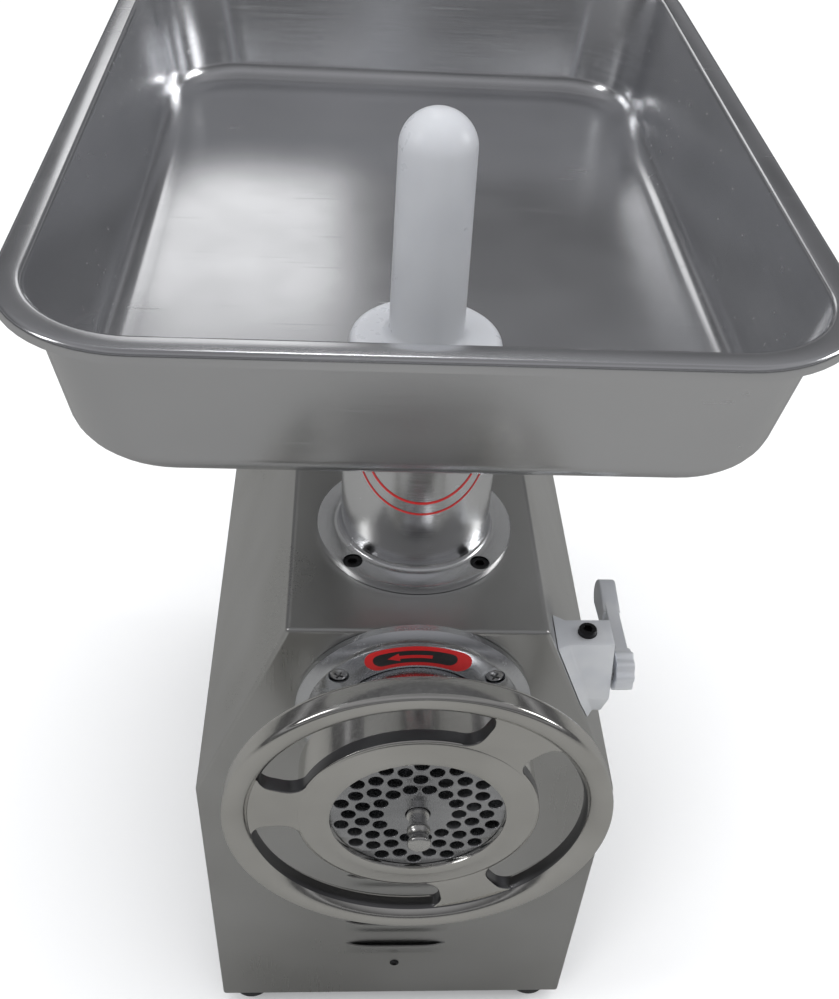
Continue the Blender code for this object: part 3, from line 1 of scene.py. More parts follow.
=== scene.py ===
"""The looks of an electric meat grinder: steel housing, cast head, hand-wheel ring nut, tray and pusher."""

import json
import math

import bmesh
import bpy
from mathutils import Matrix, Vector


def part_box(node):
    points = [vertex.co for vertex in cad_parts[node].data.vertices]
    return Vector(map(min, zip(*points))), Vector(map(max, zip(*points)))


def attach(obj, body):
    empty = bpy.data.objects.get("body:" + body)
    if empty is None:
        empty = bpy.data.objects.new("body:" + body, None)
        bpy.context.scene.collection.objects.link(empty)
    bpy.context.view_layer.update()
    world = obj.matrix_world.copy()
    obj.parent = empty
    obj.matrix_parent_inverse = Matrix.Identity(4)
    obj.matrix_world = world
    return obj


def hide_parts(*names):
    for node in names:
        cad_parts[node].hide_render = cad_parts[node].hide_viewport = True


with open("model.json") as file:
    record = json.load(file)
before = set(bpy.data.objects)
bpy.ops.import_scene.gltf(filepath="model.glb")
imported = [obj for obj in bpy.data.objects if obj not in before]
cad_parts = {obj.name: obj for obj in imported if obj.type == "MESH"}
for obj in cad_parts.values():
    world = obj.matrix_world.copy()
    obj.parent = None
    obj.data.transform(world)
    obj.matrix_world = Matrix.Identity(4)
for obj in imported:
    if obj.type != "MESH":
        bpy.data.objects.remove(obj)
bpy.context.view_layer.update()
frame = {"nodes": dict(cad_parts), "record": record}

# Studio
# A bright paper floor under a large soft box, a tall window behind the machine on its left,
# and a weaker panel in front. The room beyond them is dim, so that the steel has something to mirror.
FLOOR_SIZE = 14.0
FLOOR_COLOUR = (0.92, 0.92, 0.92, 1)
FLOOR_IN_STEEL = (0.248, 0.246, 0.238, 1)
ROOM_LIGHT = (0.93, 0.94, 0.96, 1)
ROOM_BANDS = (
    (0.46, 0.09), (0.57, 0.08), (0.625, 0.34), (0.66, 0.07), (0.72, 0.12), (0.80, 0.22), (0.90, 0.30),
    (1.0, 0.20),
)


def link(tree, out_socket, in_socket):
    tree.links.new(out_socket, in_socket)


def seen_in_steel(tree, plain, mirrored, output):
    """Shows one shader to the eye and to bounced light, and another in mirror-like surfaces."""
    path = tree.nodes.new("ShaderNodeLightPath")
    mix = tree.nodes.new("ShaderNodeMixShader")
    link(tree, path.outputs["Is Glossy Ray"], mix.inputs[0])
    link(tree, plain.outputs[0], mix.inputs[1])
    link(tree, mirrored.outputs[0], mix.inputs[2])
    link(tree, mix.outputs[0], output.inputs["Surface"])


def make_floor():
    sheet = bmesh.new()
    bmesh.ops.create_grid(sheet, x_segments=1, y_segments=1, size=0.5 * FLOOR_SIZE)
    mesh = bpy.data.meshes.new("paper_floor")
    sheet.to_mesh(mesh)
    sheet.free()
    floor = bpy.data.objects.new("paper_floor", mesh)
    bpy.context.scene.collection.objects.link(floor)
    paper = bpy.data.materials.new("paper")
    paper.use_nodes = True
    tree = paper.node_tree
    tree.nodes.clear()
    output = tree.nodes.new("ShaderNodeOutputMaterial")
    plain = tree.nodes.new("ShaderNodeBsdfDiffuse")
    plain.inputs["Color"].default_value = FLOOR_COLOUR
    mirrored = tree.nodes.new("ShaderNodeBsdfDiffuse")
    mirrored.inputs["Color"].default_value = FLOOR_IN_STEEL
    seen_in_steel(tree, plain, mirrored, output)
    mesh.materials.append(paper)


def make_room():
    world = bpy.data.worlds.new("room")
    world.use_nodes = True
    bpy.context.scene.world = world
    tree = world.node_tree
    tree.nodes.clear()
    output = tree.nodes.new("ShaderNodeOutputWorld")
    plain = tree.nodes.new("ShaderNodeBackground")
    plain.inputs["Color"].default_value = ROOM_LIGHT
    plain.inputs["Strength"].default_value = 1.0
    mirrored = tree.nodes.new("ShaderNodeBackground")
    where = tree.nodes.new("ShaderNodeTexCoord")
    split = tree.nodes.new("ShaderNodeSeparateXYZ")
    half = tree.nodes.new("ShaderNodeMath")
    half.operation = "MULTIPLY_ADD"
    half.inputs[1].default_value = 0.5
    half.inputs[2].default_value = 0.5
    bands = tree.nodes.new("ShaderNodeValToRGB")
    ramp = bands.color_ramp
    while len(ramp.elements) < len(ROOM_BANDS):
        ramp.elements.new(0.5)
    for element, (place, grey) in zip(ramp.elements, ROOM_BANDS):
        element.position = place
        element.color = (grey, grey, 1.04 * grey, 1)
    link(tree, where.outputs["Generated"], split.inputs[0])
    link(tree, split.outputs["Z"], half.inputs[0])
    link(tree, half.outputs[0], bands.inputs[0])
    link(tree, bands.outputs[0], mirrored.inputs["Color"])
    seen_in_steel(tree, plain, mirrored, output)


def soft_box(name, place, target, width, height, power, mirrored=True):
    data = bpy.data.lights.new(name, "AREA")
    data.shape = "RECTANGLE"
    data.size = width
    data.size_y = height
    data.energy = power
    lamp = bpy.data.objects.new(name, data)
    lamp.location = place
    lamp.visible_glossy = mirrored
    lamp.rotation_euler = (Vector(target) - Vector(place)).to_track_quat("-Z", "Y").to_euler()
    bpy.context.scene.collection.objects.link(lamp)


def make_camera():
    """The eye stands in front of the machine, just left of it, and looks down into the tray."""
    data = bpy.data.cameras.new("eye")
    data.lens = 41.32
    data.sensor_width = 36
    data.shift_x = -0.0060
    data.shift_y = 0.1008
    data.clip_start = 0.02
    camera = bpy.data.objects.new("eye", data)
    swung, tipped, rolled = 0.0941, 0.7692, -0.0783
    ahead = Vector(
        (math.sin(swung) * math.cos(tipped), math.cos(swung) * math.cos(tipped), -math.sin(tipped))
    )
    level = Vector((math.cos(swung), -math.sin(swung), 0))
    down = ahead.cross(level)
    across = math.cos(rolled) * level + math.sin(rolled) * down
    below = math.cos(rolled) * down - math.sin(rolled) * level
    camera.matrix_world = Matrix.Translation((-0.03077, -0.51919, 0.69278)) @ Matrix(
        (across, -below, -ahead)
    ).transposed().to_4x4()
    bpy.context.scene.collection.objects.link(camera)
    bpy.context.scene.camera = camera


make_camera()
make_floor()
make_room()
soft_box("overhead", (0.1, -0.1, 2.3), (0, 0, 0.3), 1.6, 1.6, 16, mirrored=False)
soft_box("window", (-0.36, 2.45, 1.62), (0, 0, 0.42), 0.62, 0.62, 1.25)
soft_box("window_above", (-0.1, 1.2, 2.4), (0, 0, 0.42), 0.5, 0.25, 2.5)
soft_box("front_panel_light", (-1.5, -1.9, 1.7), (0, 0, 0.3), 1.0, 1.0, 12, mirrored=False)
soft_box("right_panel_light", (2.4, 0.2, 1.5), (0, 0, 0.3), 0.5, 0.9, 9)
soft_box("left_panel_light", (-2.4, -0.6, 1.9), (0, 0, 0.3), 0.5, 0.9, 6.5)
bpy.context.scene.view_settings.view_transform = "Standard"

# Housing
# Stainless sheet, folded over two shoulders and welded to its front, then satin-brushed.
# The tube, the socket, the clamp and the two buttons come through round holes in it.
shell_low, shell_high = (Vector(corner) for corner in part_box("body_shell"))
FRONT_Y, BASE_Z, TOP_Z = shell_low.y, shell_low.z, shell_high.z
HALF_WIDTH = shell_high.x
SHOULDER_Z = BASE_Z + 0.210
HALF_TOP = 0.057
SHEET = 0.0015
FOLD = 0.0021
AXIS_Z = 0.5 * (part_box("auger")[0][2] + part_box("auger")[1][2])
FEED_Y = FRONT_Y + 0.0685
FEED_BORE = 0.0313
STEEL = ((0.50, 0.498, 0.488), (0.60, 0.60, 0.595))


def new_group(name, inputs, outputs):
    group = bpy.data.node_groups.new(name, "ShaderNodeTree")
    for label, kind, value in inputs:
        socket = group.interface.new_socket(name=label, in_out="INPUT", socket_type=kind)
        socket.default_value = value
    for label in outputs:
        group.interface.new_socket(name=label, in_out="OUTPUT", socket_type="NodeSocketFloat")
    return group, group.nodes.new("NodeGroupInput"), group.nodes.new("NodeGroupOutput")


def noise(tree, vector, size, detail=3.0, low=0.35, high=0.65):
    """Smooth noise, spread so that low to high becomes 0 to 1."""
    cloud = tree.nodes.new("ShaderNodeTexNoise")
    cloud.inputs["Detail"].default_value = detail
    link(tree, vector, cloud.inputs["Vector"])
    if isinstance(size, (int, float)):
        cloud.inputs["Scale"].default_value = size
    else:
        link(tree, size, cloud.inputs["Scale"])
    spread = tree.nodes.new("ShaderNodeMapRange")
    spread.inputs["From Min"].default_value = low
    spread.inputs["From Max"].default_value = high
    link(tree, cloud.outputs[0], spread.inputs[0])
    return spread.outputs[0]


def make_surface_wear():
    """Grain along one direction, slow cloudy patches, and thin handling scratches."""
    group, given, made = new_group(
        "surface_wear",
        (
            ("Stretch", "NodeSocketVector", (1, 1, 1)),
            ("Grain", "NodeSocketFloat", 600.0),
            ("Patches", "NodeSocketFloat", 14.0),
            ("Scratches", "NodeSocketFloat", 30.0),
        ),
        ("Grain", "Patches", "Scratches"),
    )
    where = group.nodes.new("ShaderNodeTexCoord")
    stretch = group.nodes.new("ShaderNodeVectorMath")
    stretch.operation = "MULTIPLY"
    link(group, where.outputs["Object"], stretch.inputs[0])
    link(group, given.outputs["Stretch"], stretch.inputs[1])
    grain = noise(group, stretch.outputs[0], given.outputs["Grain"], 2.0)
    patches = noise(group, where.outputs["Object"], given.outputs["Patches"], 2.0)
    bent = group.nodes.new("ShaderNodeMapping")
    bent.inputs["Rotation"].default_value = (0.5, 0.9, 0.45)
    bent.inputs["Scale"].default_value = (0.6, 14.0, 9.0)
    link(group, where.outputs["Object"], bent.inputs[0])
    scratches = noise(group, bent.outputs[0], given.outputs["Scratches"], 1.0, 0.66, 0.74)
    link(group, grain, made.inputs["Grain"])
    link(group, patches, made.inputs["Patches"])
    link(group, scratches, made.inputs["Scratches"])
    return group


surface_wear = make_surface_wear()


def ranged(tree, value, low, high):
    spread = tree.nodes.new("ShaderNodeMapRange")
    spread.inputs["To Min"].default_value = low
    spread.inputs["To Max"].default_value = high
    link(tree, value, spread.inputs[0])
    return spread.outputs[0]


def finish(name, colours, rough, metal=1.0, stretch=(1, 1, 1), grain=600.0, bump=0.15, depth=0.0001,
           patches=14.0, scratch=0.0, lathe=None, soft=0.0):
    """One surface: two close colours in patches, grain in roughness and bump, and a few scratches."""
    made = bpy.data.materials.new(name)
    made.use_nodes = True
    tree = made.node_tree
    shader = tree.nodes["Principled BSDF"]
    wear = tree.nodes.new("ShaderNodeGroup")
    wear.node_tree = surface_wear
    wear.inputs["Stretch"].default_value = stretch
    wear.inputs["Grain"].default_value = grain
    wear.inputs["Patches"].default_value = patches
    mix = tree.nodes.new("ShaderNodeMix")
    mix.data_type = "RGBA"
    mix.inputs[6].default_value = (*colours[0], 1)
    mix.inputs[7].default_value = (*colours[1], 1)
    link(tree, wear.outputs["Patches"], mix.inputs["Factor"])
    link(tree, mix.outputs[2], shader.inputs["Base Color"])
    spread = rough[1] - rough[0]
    base = ranged(tree, wear.outputs["Grain"], rough[0], rough[0] + 0.6 * spread)
    slow = ranged(tree, wear.outputs["Patches"], 0, 0.4 * spread)
    total = tree.nodes.new("ShaderNodeMath")
    link(tree, base, total.inputs[0])
    link(tree, slow, total.inputs[1])
    last = total
    if scratch:
        add = tree.nodes.new("ShaderNodeMath")
        link(tree, total.outputs[0], add.inputs[0])
        link(tree, ranged(tree, wear.outputs["Scratches"], 0, scratch), add.inputs[1])
        last = add
    link(tree, last.outputs[0], shader.inputs["Roughness"])
    relief = tree.nodes.new("ShaderNodeBump")
    relief.inputs["Strength"].default_value = bump
    relief.inputs["Distance"].default_value = depth
    link(tree, wear.outputs["Grain"], relief.inputs["Height"])
    link(tree, relief.outputs[0], shader.inputs["Normal"])
    shader.inputs["Metallic"].default_value = metal
    if soft:
        shader.inputs["Subsurface Weight"].default_value = soft
        shader.inputs["Subsurface Radius"].default_value = (0.012, 0.011, 0.010)
        shader.inputs["Subsurface Scale"].default_value = 1.0
    if lathe:
        shader.inputs["Anisotropic"].default_value = 0.75
        tangent = tree.nodes.new("ShaderNodeTangent")
        tangent.direction_type = "RADIAL"
        tangent.axis = lathe
        link(tree, tangent.outputs[0], shader.inputs["Tangent"])
    return made


def show(piece, surface, body, slot, *nodes):
    """Gives a finished piece its surface, its body and the CAD nodes that it stands for."""
    piece.data.materials.clear()
    piece.data.materials.append(surface)
    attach(piece, body)
    if nodes:
        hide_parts(*nodes)


def piece_from(name, shape, smooth=34):
    """Turns a bmesh into a piece at the origin, smooth except where faces meet sharply."""
    mesh = bpy.data.meshes.new(name)
    shape.to_mesh(mesh)
    shape.free()
    mesh.shade_smooth()
    mesh.set_sharp_from_angle(angle=math.radians(smooth))
    piece = bpy.data.objects.new(name, mesh)
    bpy.context.scene.collection.objects.link(piece)
    return piece


def turned(name, profile, centre, axis="Y", steps=96, loop=True, smooth=34):
    """Turns (radius, along) points about an axis through the centre."""
    shape = bmesh.new()
    line = [shape.verts.new((radius, 0, along)) for radius, along in profile]
    edges = [shape.edges.new(pair) for pair in zip(line, line[1:])]
    if loop:
        edges.append(shape.edges.new((line[-1], line[0])))
    bmesh.ops.spin(
        shape, geom=line + edges, cent=(0, 0, 0), axis=(0, 0, 1), angle=2 * math.pi, steps=steps,
        use_merge=True,
    )
    bmesh.ops.remove_doubles(shape, verts=shape.verts, dist=1e-6)
    bmesh.ops.recalc_face_normals(shape, faces=shape.faces)
    way = {
        "X": Matrix.Rotation(math.pi / 2, 4, "Y"),
        "Y": Matrix.Rotation(-math.pi / 2, 4, "X"),
        "Z": Matrix(),
    }
    bmesh.ops.transform(shape, matrix=Matrix.Translation(centre) @ way[axis], verts=shape.verts)
    return piece_from(name, shape, smooth)


def settle(piece, smooth=34):
    """Keeps what the modifiers make as the piece's own mesh."""
    graph = bpy.context.evaluated_depsgraph_get()
    mesh = bpy.data.meshes.new_from_object(piece.evaluated_get(graph))
    piece.modifiers.clear()
    piece.data = mesh
    mesh.shade_smooth()
    mesh.set_sharp_from_angle(angle=math.radians(smooth))


def carve(piece, cutters, operation="DIFFERENCE", smooth=34):
    """Cuts the other pieces out of one, or joins them to it, and throws them away."""
    for other in cutters:
        change = piece.modifiers.new("carve", "BOOLEAN")
        change.operation = operation
        change.solver = "MANIFOLD" if operation == "UNION" else "EXACT"
        change.object = other
    settle(piece, smooth)
    for other in cutters:
        bpy.data.objects.remove(other)


def plug(radius, start, end, centre, axis, steps=48):
    """A plain round cutter."""
    profile = [(0, start), (radius, start), (radius, end), (0, end)]
    return turned("cutter", profile, centre, axis, steps, loop=False)


def block(low, high):
    """A plain box cutter."""
    shape = bmesh.new()
    bmesh.ops.create_cube(shape, size=1)
    size = Vector(high) - Vector(low)
    bmesh.ops.scale(shape, vec=size, verts=shape.verts)
    bmesh.ops.translate(shape, vec=Vector(low) + 0.5 * size, verts=shape.verts)
    return piece_from("cutter", shape)


def bevel(shape, edges, width, segments=3):
    bmesh.ops.bevel(
        shape, geom=edges, offset=width, offset_type="OFFSET", segments=segments, profile=0.5,
        affect="EDGES", clamp_overlap=True, material=-1,
    )


LOUVRE_ROWS = [BASE_Z + 0.0585 + 0.0242 * row for row in range(5)]
LOUVRE_HALF = 0.024
SOCKET_HOLE, CLAMP_HOLE, BUTTON_HOLE, SCREW_CIRCLE = 0.0418, 0.007, 0.0085, 0.0455
SCREW_PLACES = [
    (SCREW_CIRCLE * math.cos(math.radians(a)), SCREW_CIRCLE * math.sin(math.radians(a)))
    for a in (41, 139, 221, 319)
]
BUTTON_SPOTS = [0.5 * (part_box(n)[0][1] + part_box(n)[1][1]) for n in ("start_button", "stop_button")]
BUTTON_Z = 0.5 * (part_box("start_button")[0][2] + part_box("start_button")[1][2])
CLAMP_Y = FRONT_Y + 0.0135
CLAMP_Z = AXIS_Z + 0.012


def make_housing():
    shape = bmesh.new()
    right = [(HALF_WIDTH, BASE_Z), (HALF_WIDTH, SHOULDER_Z), (HALF_TOP, TOP_Z)]
    outline = right + [(-x, z) for x, z in reversed(right)]
    corners = [shape.verts.new((x, FRONT_Y, z)) for x, z in outline]
    shape.faces.new(corners)
    lower = {corners[0], corners[-1]}
    rims = [e for e in shape.edges if set(e.verts) != lower]
    grown = bmesh.ops.extrude_edge_only(shape, edges=rims)
    moved = [v for v in grown["geom"] if isinstance(v, bmesh.types.BMVert)]
    bmesh.ops.translate(shape, verts=moved, vec=(0, shell_high.y - FRONT_Y, 0))
    folds = [e for e in shape.edges if len(e.link_faces) == 2]
    bevel(shape, folds, FOLD, 4)
    bmesh.ops.recalc_face_normals(shape, faces=shape.faces)
    shell = piece_from("housing_shell", shape)
    sheet = shell.modifiers.new("sheet", "SOLIDIFY")
    sheet.thickness = SHEET
    sheet.offset = -1
    sheet.use_even_offset = True
    cutters = [
        plug(SOCKET_HOLE, -0.004, 0.004, (0, FRONT_Y, AXIS_Z), "Y"),
        plug(FEED_BORE, -0.004, 0.004, (0, FEED_Y, TOP_Z), "Z"),
        plug(CLAMP_HOLE, 0.055, 0.105, (0, CLAMP_Y, CLAMP_Z), "X", 24),
    ]
    cutters += [
        block((-LOUVRE_HALF, FRONT_Y - 0.001, z - 0.0015), (LOUVRE_HALF, FRONT_Y + 0.003, z + 0.0015))
        for z in LOUVRE_ROWS
    ]
    cutters += [plug(BUTTON_HOLE, -0.004, 0.004, (HALF_WIDTH, y, BUTTON_Z), "X", 32) for y in BUTTON_SPOTS]
    settle(shell)
    carve(shell, cutters)
    return shell


satin = finish(
    "satin_sheet", STEEL, (0.27, 0.33), stretch=(1, 1, 0.02), grain=1300.0, bump=0.008, patches=9.0,
    scratch=0.04,
)
housing = make_housing()
show(housing, satin, "housing", "satin_steel", "body_shell")

# Louvres
# Five hoods pressed out of the front sheet in one stroke each. They open upwards and run out
# into the sheet below and at both ends, so that air enters and splashes don't.
HOOD_HALF, HOOD_PROUD, HOOD_DROP = 0.0295, 0.0026, 0.0135


def make_louvre(z):
    """A lip of even height that runs out at both ends and fades into the sheet below."""
    shape = bmesh.new()
    bmesh.ops.create_grid(shape, x_segments=60, y_segments=14, size=1)
    for vert in shape.verts:
        across, down = vert.co.x, 0.5 * (1 - vert.co.y)
        fade = 1 - down * down * (3 - 2 * down)
        ends = 1 - abs(across) ** 5
        vert.co = Vector(
            (HOOD_HALF * across, FRONT_Y - 0.0001 - HOOD_PROUD * ends * fade, z + 0.0016 - HOOD_DROP * down)
        )
    bmesh.ops.recalc_face_normals(shape, faces=shape.faces)
    if sum(face.normal.y for face in shape.faces) > 0:
        bmesh.ops.reverse_faces(shape, faces=shape.faces)
    hood = piece_from("hood", shape, 50)
    sheet = hood.modifiers.new("sheet", "SOLIDIFY")
    sheet.thickness = 0.0008
    sheet.offset = -1
    settle(hood, 50)
    return hood


def join_loose(name, pieces):
    """One piece from several that touch nothing of each other."""
    shape = bmesh.new()
    for piece in pieces:
        shape.from_mesh(piece.data)
        bpy.data.objects.remove(piece)
    return piece_from(name, shape, 50)


louvres = join_loose("louvre_hoods", [make_louvre(z) for z in LOUVRE_ROWS])
show(louvres, satin, "housing", "satin_steel")

# Feed tray
# A deep-drawn stainless pan: sloped walls, a small floor radius and a rolled rim. A turned collar
# is welded through its floor and drops over the feed tube, so the pan lifts straight off.
tray_low, tray_high = (Vector(corner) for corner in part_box("feed_tray"))
TRAY_FLOOR = tray_high.z - 0.066
RIM, DRAFT, CORNER, LIP = 0.0115, 0.0085, 0.055, 0.005
COLLAR_OUT, COLLAR_IN, COLLAR_RISE, COLLAR_DROP = 0.0305, 0.0280, 0.0117, 0.030


def make_tray():
    middle = 0.5 * (tray_low + tray_high)
    half = Vector((tray_high.x - middle.x - RIM, tray_high.y - middle.y - RIM))
    shape = bmesh.new()
    bmesh.ops.create_cube(shape, size=2)
    for vert in shape.verts:
        inward = DRAFT if vert.co.z < 0 else 0.0
        vert.co.x *= half.x - inward
        vert.co.y *= half.y - inward
        vert.co.z = TRAY_FLOOR if vert.co.z < 0 else tray_high.z
    bmesh.ops.delete(shape, geom=[f for f in shape.faces if f.normal.z > 0.9], context="FACES_ONLY")
    shape.normal_update()
    upright = [e for e in shape.edges if abs(e.verts[0].co.z - e.verts[1].co.z) > 0.01]
    bevel(shape, upright, CORNER - RIM, 14)
    lowest = [
        e for e in shape.edges
        if len(e.link_faces) == 2 and all(abs(v.co.z - TRAY_FLOOR) < 1e-6 for v in e.verts)
    ]
    bevel(shape, lowest, 0.0105, 6)
    rim = [e for e in shape.edges if e.is_boundary]
    inner = half - Vector((CORNER - RIM, CORNER - RIM))
    loops = [(RIM, 0.0), (0.0, -LIP)]
    folds = list(rim)
    for outward, drop in loops:
        grown = bmesh.ops.extrude_edge_only(shape, edges=rim)["geom"]
        rim = [e for e in grown if isinstance(e, bmesh.types.BMEdge)]
        for vert in (v for v in grown if isinstance(v, bmesh.types.BMVert)):
            core = Vector(
                (min(max(vert.co.x, -inner.x), inner.x), min(max(vert.co.y, -inner.y), inner.y), vert.co.z)
            )
            vert.co += outward * (vert.co - core).normalized()
            vert.co.z += drop
        if outward:
            folds += rim
    bevel(shape, [e for e in folds if e.is_valid], 0.0023, 4)
    floor = max(shape.faces, key=lambda f: f.calc_area())
    bmesh.ops.inset_region(shape, faces=[floor], thickness=0.004, use_even_offset=True)
    edges = list(floor.edges)
    bmesh.ops.delete(shape, geom=[floor], context="FACES_ONLY")
    hole = bmesh.ops.create_circle(shape, cap_ends=False, segments=72, radius=COLLAR_OUT - 0.0006)
    bmesh.ops.translate(shape, verts=hole["verts"], vec=(0, FEED_Y - middle.y, TRAY_FLOOR))
    edges += {e for v in hole["verts"] for e in v.link_edges}
    bmesh.ops.triangle_fill(shape, use_beauty=True, use_dissolve=False, edges=edges)
    bmesh.ops.translate(shape, verts=shape.verts, vec=(middle.x, middle.y, 0))
    bmesh.ops.recalc_face_normals(shape, faces=shape.faces)
    floor = max(
        shape.faces, key=lambda f: f.calc_area() * (abs(f.calc_center_median().z - TRAY_FLOOR) < 1e-4),
    )
    if floor.normal.z < 0:
        bmesh.ops.reverse_faces(shape, faces=shape.faces)
    pan = piece_from("tray_pan", shape, 40)
    sheet = pan.modifiers.new("sheet", "SOLIDIFY")
    sheet.thickness = 0.0012
    sheet.offset = -1
    sheet.use_even_offset = True
    settle(pan, 40)
    return pan


tray_satin = finish(
    "tray_satin", ((0.68, 0.685, 0.70), (0.76, 0.765, 0.78)), (0.18, 0.24), stretch=(0.03, 0.03, 1),
    grain=900.0, bump=0.004, patches=7.0, scratch=0.05,
)
show(make_tray(), tray_satin, "tray", "tray_steel", "feed_tray")
collar_profile = [
    (COLLAR_IN, TRAY_FLOOR - COLLAR_DROP), (COLLAR_OUT - 0.001, TRAY_FLOOR - COLLAR_DROP),
    (COLLAR_OUT, TRAY_FLOOR - COLLAR_DROP + 0.001), (COLLAR_OUT, TRAY_FLOOR + COLLAR_RISE - 0.0006),
    (COLLAR_OUT - 0.0006, TRAY_FLOOR + COLLAR_RISE), (COLLAR_IN + 0.0006, TRAY_FLOOR + COLLAR_RISE),
    (COLLAR_IN, TRAY_FLOOR + COLLAR_RISE - 0.0006),
]
collar = turned("tray_collar", collar_profile, (0, FEED_Y, 0), "Z")
show(collar, tray_satin, "tray", "tray_steel")

# Pusher
# One moulding of white polyethylene: a domed handle, a thick disc that rests on the collar,
# and a plunger that fills the throat. Its skin is slightly waxy and lets some light in.
PUSHER_SEAT = TRAY_FLOOR + 0.012
HANDLE, HANDLE_TOP, DISC, DISC_THICK, PLUNGER = 0.0155, 0.103, 0.0318, 0.0125, 0.0262


def arc(radius, first, last, steps, centre=(0, 0)):
    """Points of a circle's arc, in degrees, anticlockwise from the right."""
    points = []
    for step in range(steps + 1):
        angle = math.radians(first + (last - first) * step / steps)
        points.append((centre[0] + radius * math.cos(angle), centre[1] + radius * math.sin(angle)))
    return points


def pusher_profile():
    """Plunger below, then the disc with rounded edges, a fillet, the handle and its dome."""
    low = -0.085
    points = [
        (0, low), (PLUNGER - 0.003, low), (PLUNGER, low + 0.003), (PLUNGER, 0.0003),
        (DISC - 0.0025, 0.0003),
    ]
    points += arc(0.0025, -90, 0, 8, (DISC - 0.0025, 0.0028))[1:]
    points += arc(0.004, 0, 90, 8, (DISC - 0.004, DISC_THICK - 0.0050))
    points += arc(0.0035, -90, -180, 8, (HANDLE + 0.0035, DISC_THICK + 0.0032))
    dome = HANDLE - 0.0008
    for step in range(13):
        angle = math.radians(90 * step / 12)
        points.append((dome * math.cos(angle), HANDLE_TOP - dome * 0.93 + dome * 0.93 * math.sin(angle)))
    return points[:-1] + [(0, HANDLE_TOP)]


waxy = finish(
    "waxy_white", ((0.45, 0.46, 0.485), (0.49, 0.50, 0.52)), (0.26, 0.36), metal=0.0, grain=260.0,
    bump=0.05, patches=30.0, scratch=0.15, soft=0.35,
)
pusher = turned("pusher_moulding", pusher_profile(), (0, FEED_Y, PUSHER_SEAT), "Z", loop=False, smooth=50)
show(pusher, waxy, "pusher", "white_plastic", "pusher")

# Rear sheet, base sheet and feet
# The rear sheet is screwed on from behind and carries the lead's gland. The base sheet has slots
# for the motor's cooling air, and four soft rubber feet are screwed under it.
FOOT_TALL, FOOT_WIDE, SOLE_EDGE = 0.0147, 0.0125, 0.0015


def foot_profile():
    """A rubber disc with a rounded sole, a slight cone and a recess for its screw."""
    points = [(0, 0.004), (0.004, 0.004), (0.004, 0.0006), (0.0046, 0.0)]
    points += arc(SOLE_EDGE, -90, 0, 6, (FOOT_WIDE - SOLE_EDGE, SOLE_EDGE))
    return points + [
        (FOOT_WIDE - 0.0012, FOOT_TALL - 0.0006), (FOOT_WIDE - 0.0018, FOOT_TALL), (0, FOOT_TALL),
    ]


rubber = finish(
    "foot_rubber", ((0.018, 0.018, 0.019), (0.032, 0.032, 0.033)), (0.55, 0.8), metal=0.0, grain=1500.0,
    bump=0.2,
)
plastic_black = finish(
    "black_moulding", ((0.020, 0.020, 0.021), (0.032, 0.032, 0.034)), (0.34, 0.5), metal=0.0, grain=2600.0,
    bump=0.25,
)
for place in ("front_left", "front_right", "rear_left", "rear_right"):
    low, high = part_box("foot_" + place)
    spot = (0.5 * (low[0] + high[0]), 0.5 * (low[1] + high[1]), 0)
    foot = turned("rubber_foot_" + place, foot_profile(), spot, "Z", 64, loop=False)
    show(foot, rubber, "housing", "black_rubber", "foot_" + place)
gland_low, gland_high = (Vector(c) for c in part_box("cord_gland"))
gland_back, gland_z = gland_high.y, 0.5 * (gland_low.z + gland_high.z)
GLAND_PROFILE = [
    (0.0042, -0.026), (0.0078, -0.026), (0.0078, -0.0142), (0.0113, -0.0142), (0.0115, -0.0138),
    (0.0115, -0.0082), (0.0111, -0.0078), (0.0108, -0.006), (0.0098, -0.0008), (0.0090, 0.0), (0.0048, 0.0),
    (0.0042, -0.0006),
]
gland = turned("gland_nut", GLAND_PROFILE, (0, gland_back, gland_z), "Y", 6, smooth=20)
show(gland, plastic_black, "housing", "black_plastic", "cord_gland")

# Feed tube
# Turned from aluminium bar, bright from the tool, with a round flange bolted down on the housing's
# top by four sunk cap screws. A printed ring mark faces the operator, just under the tray.
TUBE_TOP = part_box("feed_tube")[1][2] - TOP_Z
TUBE, TUBE_FLANGE, FLANGE_THICK, TUBE_FILLET = 0.0343, 0.0457, 0.0045, 0.0035
CAP_HEAD, HEAD_TALL = 0.0041, 0.0035
RED_INK = ((0.50, 0.012, 0.014), (0.62, 0.020, 0.020))


def tube_profile():
    points = [(FEED_BORE, TUBE_TOP), (TUBE - 0.0006, TUBE_TOP), (TUBE, TUBE_TOP - 0.0006)]
    points += arc(TUBE_FILLET, 180, 270, 8, (TUBE + TUBE_FILLET, FLANGE_THICK + TUBE_FILLET))
    points += [(TUBE_FLANGE - 0.0008, FLANGE_THICK), (TUBE_FLANGE - 0.0002, FLANGE_THICK - 0.0003)]
    return points + [(TUBE_FLANGE, FLANGE_THICK - 0.0009), (TUBE_FLANGE, 0.0003), (FEED_BORE, 0.0003)]


def cap_places():
    """The flange screws, in the order of their CAD nodes."""
    boxes = [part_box(f"feed_flange_screw_{index}") for index in range(1, 5)]
    return [
        Vector([0.5 * (a + b) for a, b in zip(low[:2], high[:2])] + [TOP_Z + FLANGE_THICK])
        for low, high in boxes
    ]


